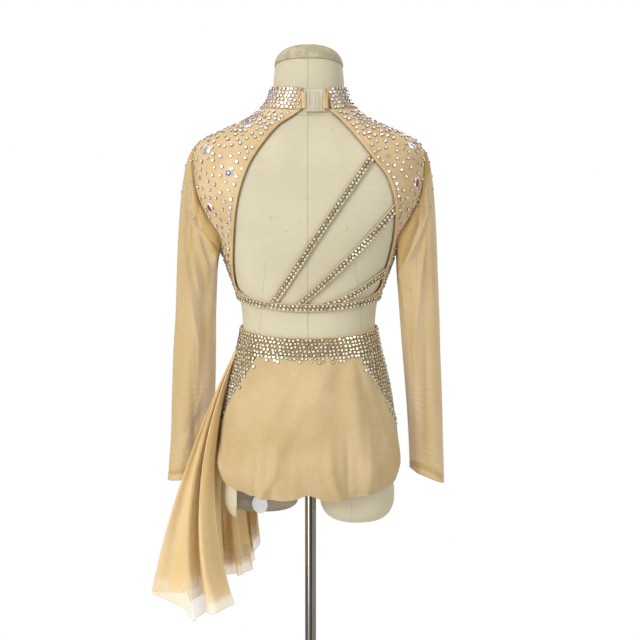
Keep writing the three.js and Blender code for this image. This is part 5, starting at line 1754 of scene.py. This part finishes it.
def setStrapStones():
    shares, field = steps(400), fields["strap"]
    for index in range(3):
        def sheet(u, v):
            return strapPoint(index, u, v, field["lift"])

        length = runAlong(sheet(np.full(shares.shape, 0.5), shares))
        places = np.arange(field["inset"], length[-1] - 2, stones["bandPitch"] / 2)
        share = np.interp(places, length, shares)
        side = np.where(np.arange(len(share)) % 2, 1, -1) * stones["bandSide"]
        stray = stoneDraw.uniform(-field["stray"], field["stray"], len(share))
        side = side + stones["bandShift"] + stray
        side = 0.5 + side / (2 * straps["half"])
        points, facing = sheet(side, share), normalOf(sheet, side, share, 0.05, 0.01)
        facing *= np.sign(np.sum(facing * points * [1, 1, 0], -1, keepdims=True))
        points, normals = snapTo(castTree("backStrap" + str(index + 1)), points, facing, 5)
        name, sizes = "strapStones" + str(index + 1), radii("band", points)
        growOn(name, points, normals, sizes, "stone", "golden", 20 + index)


def setWaistStones():  # one field over the waistband and side pieces, ragged where it ends
    field = fields["waist"]

    def allowed(angle, level, fromSide):
        onSide = arc(sideAngle(level), fromSide, level) * np.sign(sideAngle(level) - fromSide)
        ragged = stoneDraw.uniform(0, 1, len(angle)) ** 1.4
        onBand = level > shorts["seatTop"] - 3 - field["ragged"] * ragged
        return onBand | (onSide > -1 - field["raggedSide"] * ragged)

    high = body["waistTop"] - field["inset"]
    parts = []
    for pitch, atSide in ((stones["widePitch"], False), (stones["closePitch"], True)):
        levels = np.arange(high, field["low"], -pitch * stones["rowShare"])
        angle, level = rowsOfStones(0, 2 * math.pi, levels, pitch, field["stray"])
        fromSide = np.abs((angle + math.pi / 2) % math.pi - math.pi / 2)
        fine = allowed(angle, level, fromSide)
        fine = fine & ((fromSide < stones["sideField"] * degree) == atSide)
        parts.append((angle[fine], level[fine]))
    places = (np.concatenate(both) for both in zip(*parts))
    cast = castTree("waistBand", "bubbleBack", "bubbleFront", "sidePieceLeft", "sidePieceRight")
    figureStones("waistStones", cast, *places, "dense", "golden", 7)


def setSleeveStones():  # a few strays over the caps
    field = fields["sleeve"]
    for side, cut in sleeves.items():
        sheet = sleeveSheet(side)[0]
        u = stoneDraw.uniform(0, 1, field["tries"])
        v = stoneDraw.uniform(*field["share"], field["tries"])
        points = sheet(u, v)
        fine = points[:, 2] > field["low"]
        u, v, points = u[fine], v[fine], points[fine]
        facing = normalOf(sheet, u, v, 0.004, 0.004) * -cut["sign"]
        outward = points - np.stack([cut["sign"] * 150 + 0 * u, 0 * u, points[:, 2] - 10], -1)
        facing *= np.sign(np.sum(facing * outward, -1, keepdims=True))
        kept = thinned(points, field["gap"] + field["thinner"] * v)
        points, normals = snapTo(castTree("sleeve" + side), points[kept], facing[kept], 4)
        sizes = radii("small", points)
        growOn("sleeveStones" + side, points, normals, sizes, "stone", "clear", 30)


setYokeStones()
setFrontStones()
setCollarStones()
setBandStones()
setStrapStones()
setWaistStones()
setSleeveStones()
print("stones set")


# Stitches beside the bindings' and bands' edges
stitches = {
    "pitch": 2.9, "bound": (1078, 1374, 400), "inset": 0.2, "lift": 1.25, "around": 900,
    "rows": (
        ("waistStitches", body["waistTop"] - 2.3, 2.2),
        ("bandStitchesTop", body["bandTop"] - 1.9, 1.75),
    ),
}


def stitchAlong(name, path):
    length = runAlong(path)
    places = np.arange(stitches["pitch"] / 2, length[-1], stitches["pitch"])
    points = np.stack([np.interp(places, length, path[:, k]) for k in range(3)], -1)
    ways = np.gradient(points, axis=0)
    growOn(name, points * mm, ways, np.ones(len(points)), "stitch", "thread")


def sewStitches():
    bound = np.linspace(*stitches["bound"])
    for side, opening, sign in (("Left", leftOpening, 1), ("Right", rightOpening, -1)):
        near, far = bindingEdges(opening, bound, sign)
        angle = far + (near - far) * stitches["inset"]
        path = figurePoint(angle, bound, body["clothWall"] + stitches["lift"])
        stitchAlong("bindingStitches" + side, path)
    angles = steps(stitches["around"], 0, 2 * math.pi)
    for name, level, lift in stitches["rows"]:
        stitchAlong(name, figurePoint(angles, level, lift))


sewStitches()
print("stitches sewn")


# Bigger gems on the shoulders: x, z, half width, half height, tilt, centre and rim colours; the
# pale rim is a painted reflection
gemRows = (
    ("gemShoulderLeft", 163.7, 1316.4, 8.4, 6.6, 0, 0, "#b9c2c4", "#ffffff"),
    ("gemBlueLeft", 126.8, 1279.4, 6.4, 6.4, 0, 0, "#54479b", "#f1eef6"),
    ("gemPinkLeft", 158.4, 1223.5, 6.2, 9.4, 25, 0.55, "#a32f66", "#f6eef0"),
    ("gemNeckLeft", 96.9, 1355.8, 8.7, 4.8, 14, 0, "#bfb4c2", "#ffffff"),
    ("gemPinkRight", -173.4, 1263.5, 6.8, 10.2, 4, 0, "#a12a5e", "#f8f4f6"),
    ("gemShoulderRight", -166.2, 1322.8, 8.8, 5.2, -24, 0, "#c9c6d0", "#ffffff"),
)


# A cut gem's rings as shares of its size with their heights, and how its colours are mixed, with
# painted shade on random facets
gemCut = {
    # the dark colour and its share paint random facets in painted shade
    "sides": 14, "seat": 0.1, "paintedFacetShade": 0.55, "dark": "#4d4048",
    "outline": ((1.0, 0.0), (1.02, 0.7), (0.9, 1.3), (0.86, 1.25), (0.62, 2.1), (0.36, 2.7)),
    "rings": (1, 1, 1, 0.7, 0.5, 0.1),
    "shader": {
        "Metallic": 0.45, "Roughness": 0.1, "IOR": 1.55, "Coat Weight": 0.8,
        "Coat Roughness": 0.02,
    },
}


def gemMaterial(name, centre, rim):
    material, tree, shader = newMaterial(name, gemCut["shader"])
    tint = mixColours(tree, ramp(tree, storedValue(tree, "ring"), 0.45, 0.62), centre, rim)
    # facets drawn at random are painted darker: painted shade
    facet = ramp(tree, storedValue(tree, "facet"), 0.55, 0.1)
    shaded = mixColours(tree, times(tree, facet, gemCut["paintedFacetShade"]), tint, gemCut["dark"])
    tree.links.new(shaded, shader.inputs["Base Color"])
    return material


def buildGems():
    cast = castTree("bodiceBackLeft", "bodiceBackRight", "sleeveLeft", "sleeveRight")
    sides = gemCut["sides"]
    turn = roundTurn(sides)
    c, s = np.cos(turn), np.sin(turn)
    for name, x, z, half, height, tilt, point, centre, rim in gemRows:
        hit = cast.ray_cast(Vector((x * mm, 0.3, z * mm)), Vector((0, -1, 0)))
        base, normal = np.array(hit[0]) / mm, np.array(hit[1])
        normal = normal if normal[1] > 0 else -normal
        across = unit(np.cross([0, 0, 1], normal))
        up = np.cross(normal, across)
        a = tilt * degree
        turned = across * math.cos(a) + up * math.sin(a)
        up = up * math.cos(a) - across * math.sin(a)
        taper = 1 - point * np.maximum(-s, 0) ** 1.5  # a teardrop narrows to its lower end
        plan = np.outer(c * half * taper, turned) + np.outer(s * height, up)
        base = base - normal * gemCut["seat"]
        rings = [base + normal * lift + plan * size for size, lift in gemCut["outline"]]
        gem = loftPiece(name, rings)
        gem.data.shade_flat()
        storeValues(gem, "ring", np.concatenate([np.repeat(gemCut["rings"], sides), [1, 0]]))
        attribute = gem.data.attributes.new("facet", "FLOAT", "FACE")
        draws = stoneDraw.uniform(0, 1, len(gem.data.polygons)).astype(np.float32)
        attribute.data.foreach_set("value", draws)
        settle(gem, gemMaterial(name + "Glass", centre, rim))


buildGems()
print("gems set")


# Floor, lights and camera, in metres; a window is a way, where it starts and ends, its light
studio = {
    "floorRings": (0.3, 0.6, 0.9, 1.2, 1.6, 2.5, 5, 14), "floorSides": 96, "floorTop": -0.0005,
    "fade": (0.9, 1.55), "ambient": 0.44, "lit": (0, 0, 1.05), "lens": 88.64, "sensor": 36,
    "target": (-0.01815, 0, 1.03825), "rise": 5, "distance": 2.6,
    "windows": (
        ((0.7, 0.6, 0.35), (0.84, 0.93), 1.5), ((-0.8, 0.5, 0.2), (0.9, 0.96), 0.9),
        ((-0.3, -0.85, 0.35), (0.86, 0.94), 1.1), ((0, 0.1, 1), (0.7, 0.95), 0.8),
        ((0.5, -1, -0.1), (0.9, 0.97), -0.4),
        # narrow windows and dark screens that show as streaks on the pole
        ((0.67, 0.74, -0.09), (0.975, 0.992), 4.0), ((-0.17, 0.98, -0.09), (0.94, 0.97), -0.43),
        ((1, 0.05, -0.09), (0.92, 0.975), -0.3), ((-0.9, 0.44, -0.09), (0.985, 0.994), -0.3),
    ),
    "lights": (
        ("keyLight", (2.5, 2.6, 2.7), 1.3, 61), ("fillLight", (-2.6, 2.4, 1.3), 2.2, 20),
        ("frontLight", (-1.8, -2.8, 2.4), 1.8, 30),
    ),
}


def buildFloor():
    sides, low = studio["floorSides"], studio["floorTop"]
    x, y = np.cos(roundTurn(sides)), np.sin(roundTurn(sides))
    rings = [np.stack([r * x, r * y, np.full(sides, low)], -1) for r in studio["floorRings"]]
    points = np.concatenate([[(0, 0, low)], *rings]) / mm
    faces = [[0, 1 + i, 1 + (i + 1) % sides] for i in range(sides)]
    faces += (gridFaces(len(rings), sides, True, 1, True)).tolist()
    floor = linkMesh("studioFloor", points, faces, smooth=False)
    settings = {"Base Color": toLinear("#f4f4f4"), "Roughness": 0.9}
    material, tree, shader = newMaterial("paleFloor", settings)
    parts = addNode(tree, "ShaderNodeSeparateXYZ", None, {0: objectPlace(tree)}).outputs
    square = plus(tree, times(tree, parts[0], parts[0]), times(tree, parts[1], parts[1]))
    fade = ramp(tree, asMath(tree, "SQRT", square), *studio["fade"])
    clear = addNode(tree, "ShaderNodeBsdfTransparent")  # fades out into the white round it
    links = {0: fade, 1: shader.outputs[0], 2: clear.outputs[0]}
    mix = addNode(tree, "ShaderNodeMixShader", None, links)
    output = next(node for node in tree.nodes if node.type == "OUTPUT_MATERIAL")
    tree.links.new(mix.outputs[0], output.inputs["Surface"])
    floor.data.materials.append(material)


def addObject(name, data, place, target):  # a light or a camera that looks at a target
    holder = bpy.data.objects.new(name, data)
    bpy.context.scene.collection.objects.link(holder)
    holder.location = place
    way = Vector(target) - Vector(place)
    holder.rotation_euler = way.to_track_quat("-Z", "Y").to_euler()
    return holder


def addLight(name, place, size, power):
    light = bpy.data.lights.new(name, "AREA")
    light.size, light.energy = size, power
    addObject(name, light, place, studio["lit"])

def buildWorld():  # white to the eye; its light is dimmer, with brighter windows
    world = bpy.data.worlds.new("softStudio")
    world.use_nodes = True
    tree = world.node_tree
    tree.nodes.clear()
    way = addNode(tree, "ShaderNodeTexCoord").outputs["Generated"]
    level = studio["ambient"]
    for toward, reach, strength in studio["windows"]:
        settings = {"operation": "DOT_PRODUCT", 1: Vector(toward).normalized()}
        near = addNode(tree, "ShaderNodeVectorMath", settings, {0: way}).outputs["Value"]
        level = asMath(tree, "ADD", ramp(tree, near, *reach, 0, strength), level)
    seen = addNode(tree, "ShaderNodeLightPath").outputs["Is Camera Ray"]
    settings, links = {"data_type": "FLOAT", 3: 1.0}, {0: seen, 2: level}
    strength = addNode(tree, "ShaderNodeMix", settings, links).outputs[0]
    settings = {"Color": (1, 1, 1, 1)}
    glow = addNode(tree, "ShaderNodeBackground", settings, {"Strength": strength})
    addNode(tree, "ShaderNodeOutputWorld", None, {"Surface": glow.outputs[0]})
    bpy.context.scene.world = world


def buildStudio():
    buildFloor()
    buildWorld()
    for row in studio["lights"]:
        addLight(*row)
    bpy.context.scene.view_settings.view_transform = "Standard"
    bpy.context.scene.view_settings.look = "None"
    camera = bpy.data.cameras.new("photoCamera")
    camera.lens, camera.sensor_width = studio["lens"], studio["sensor"]
    rise, distance = studio["rise"] * degree, studio["distance"]
    target = Vector(studio["target"])
    place = target + Vector((0, distance * math.cos(rise), distance * math.sin(rise)))
    bpy.context.scene.camera = addObject("photoCamera", camera, place, target)


buildStudio()
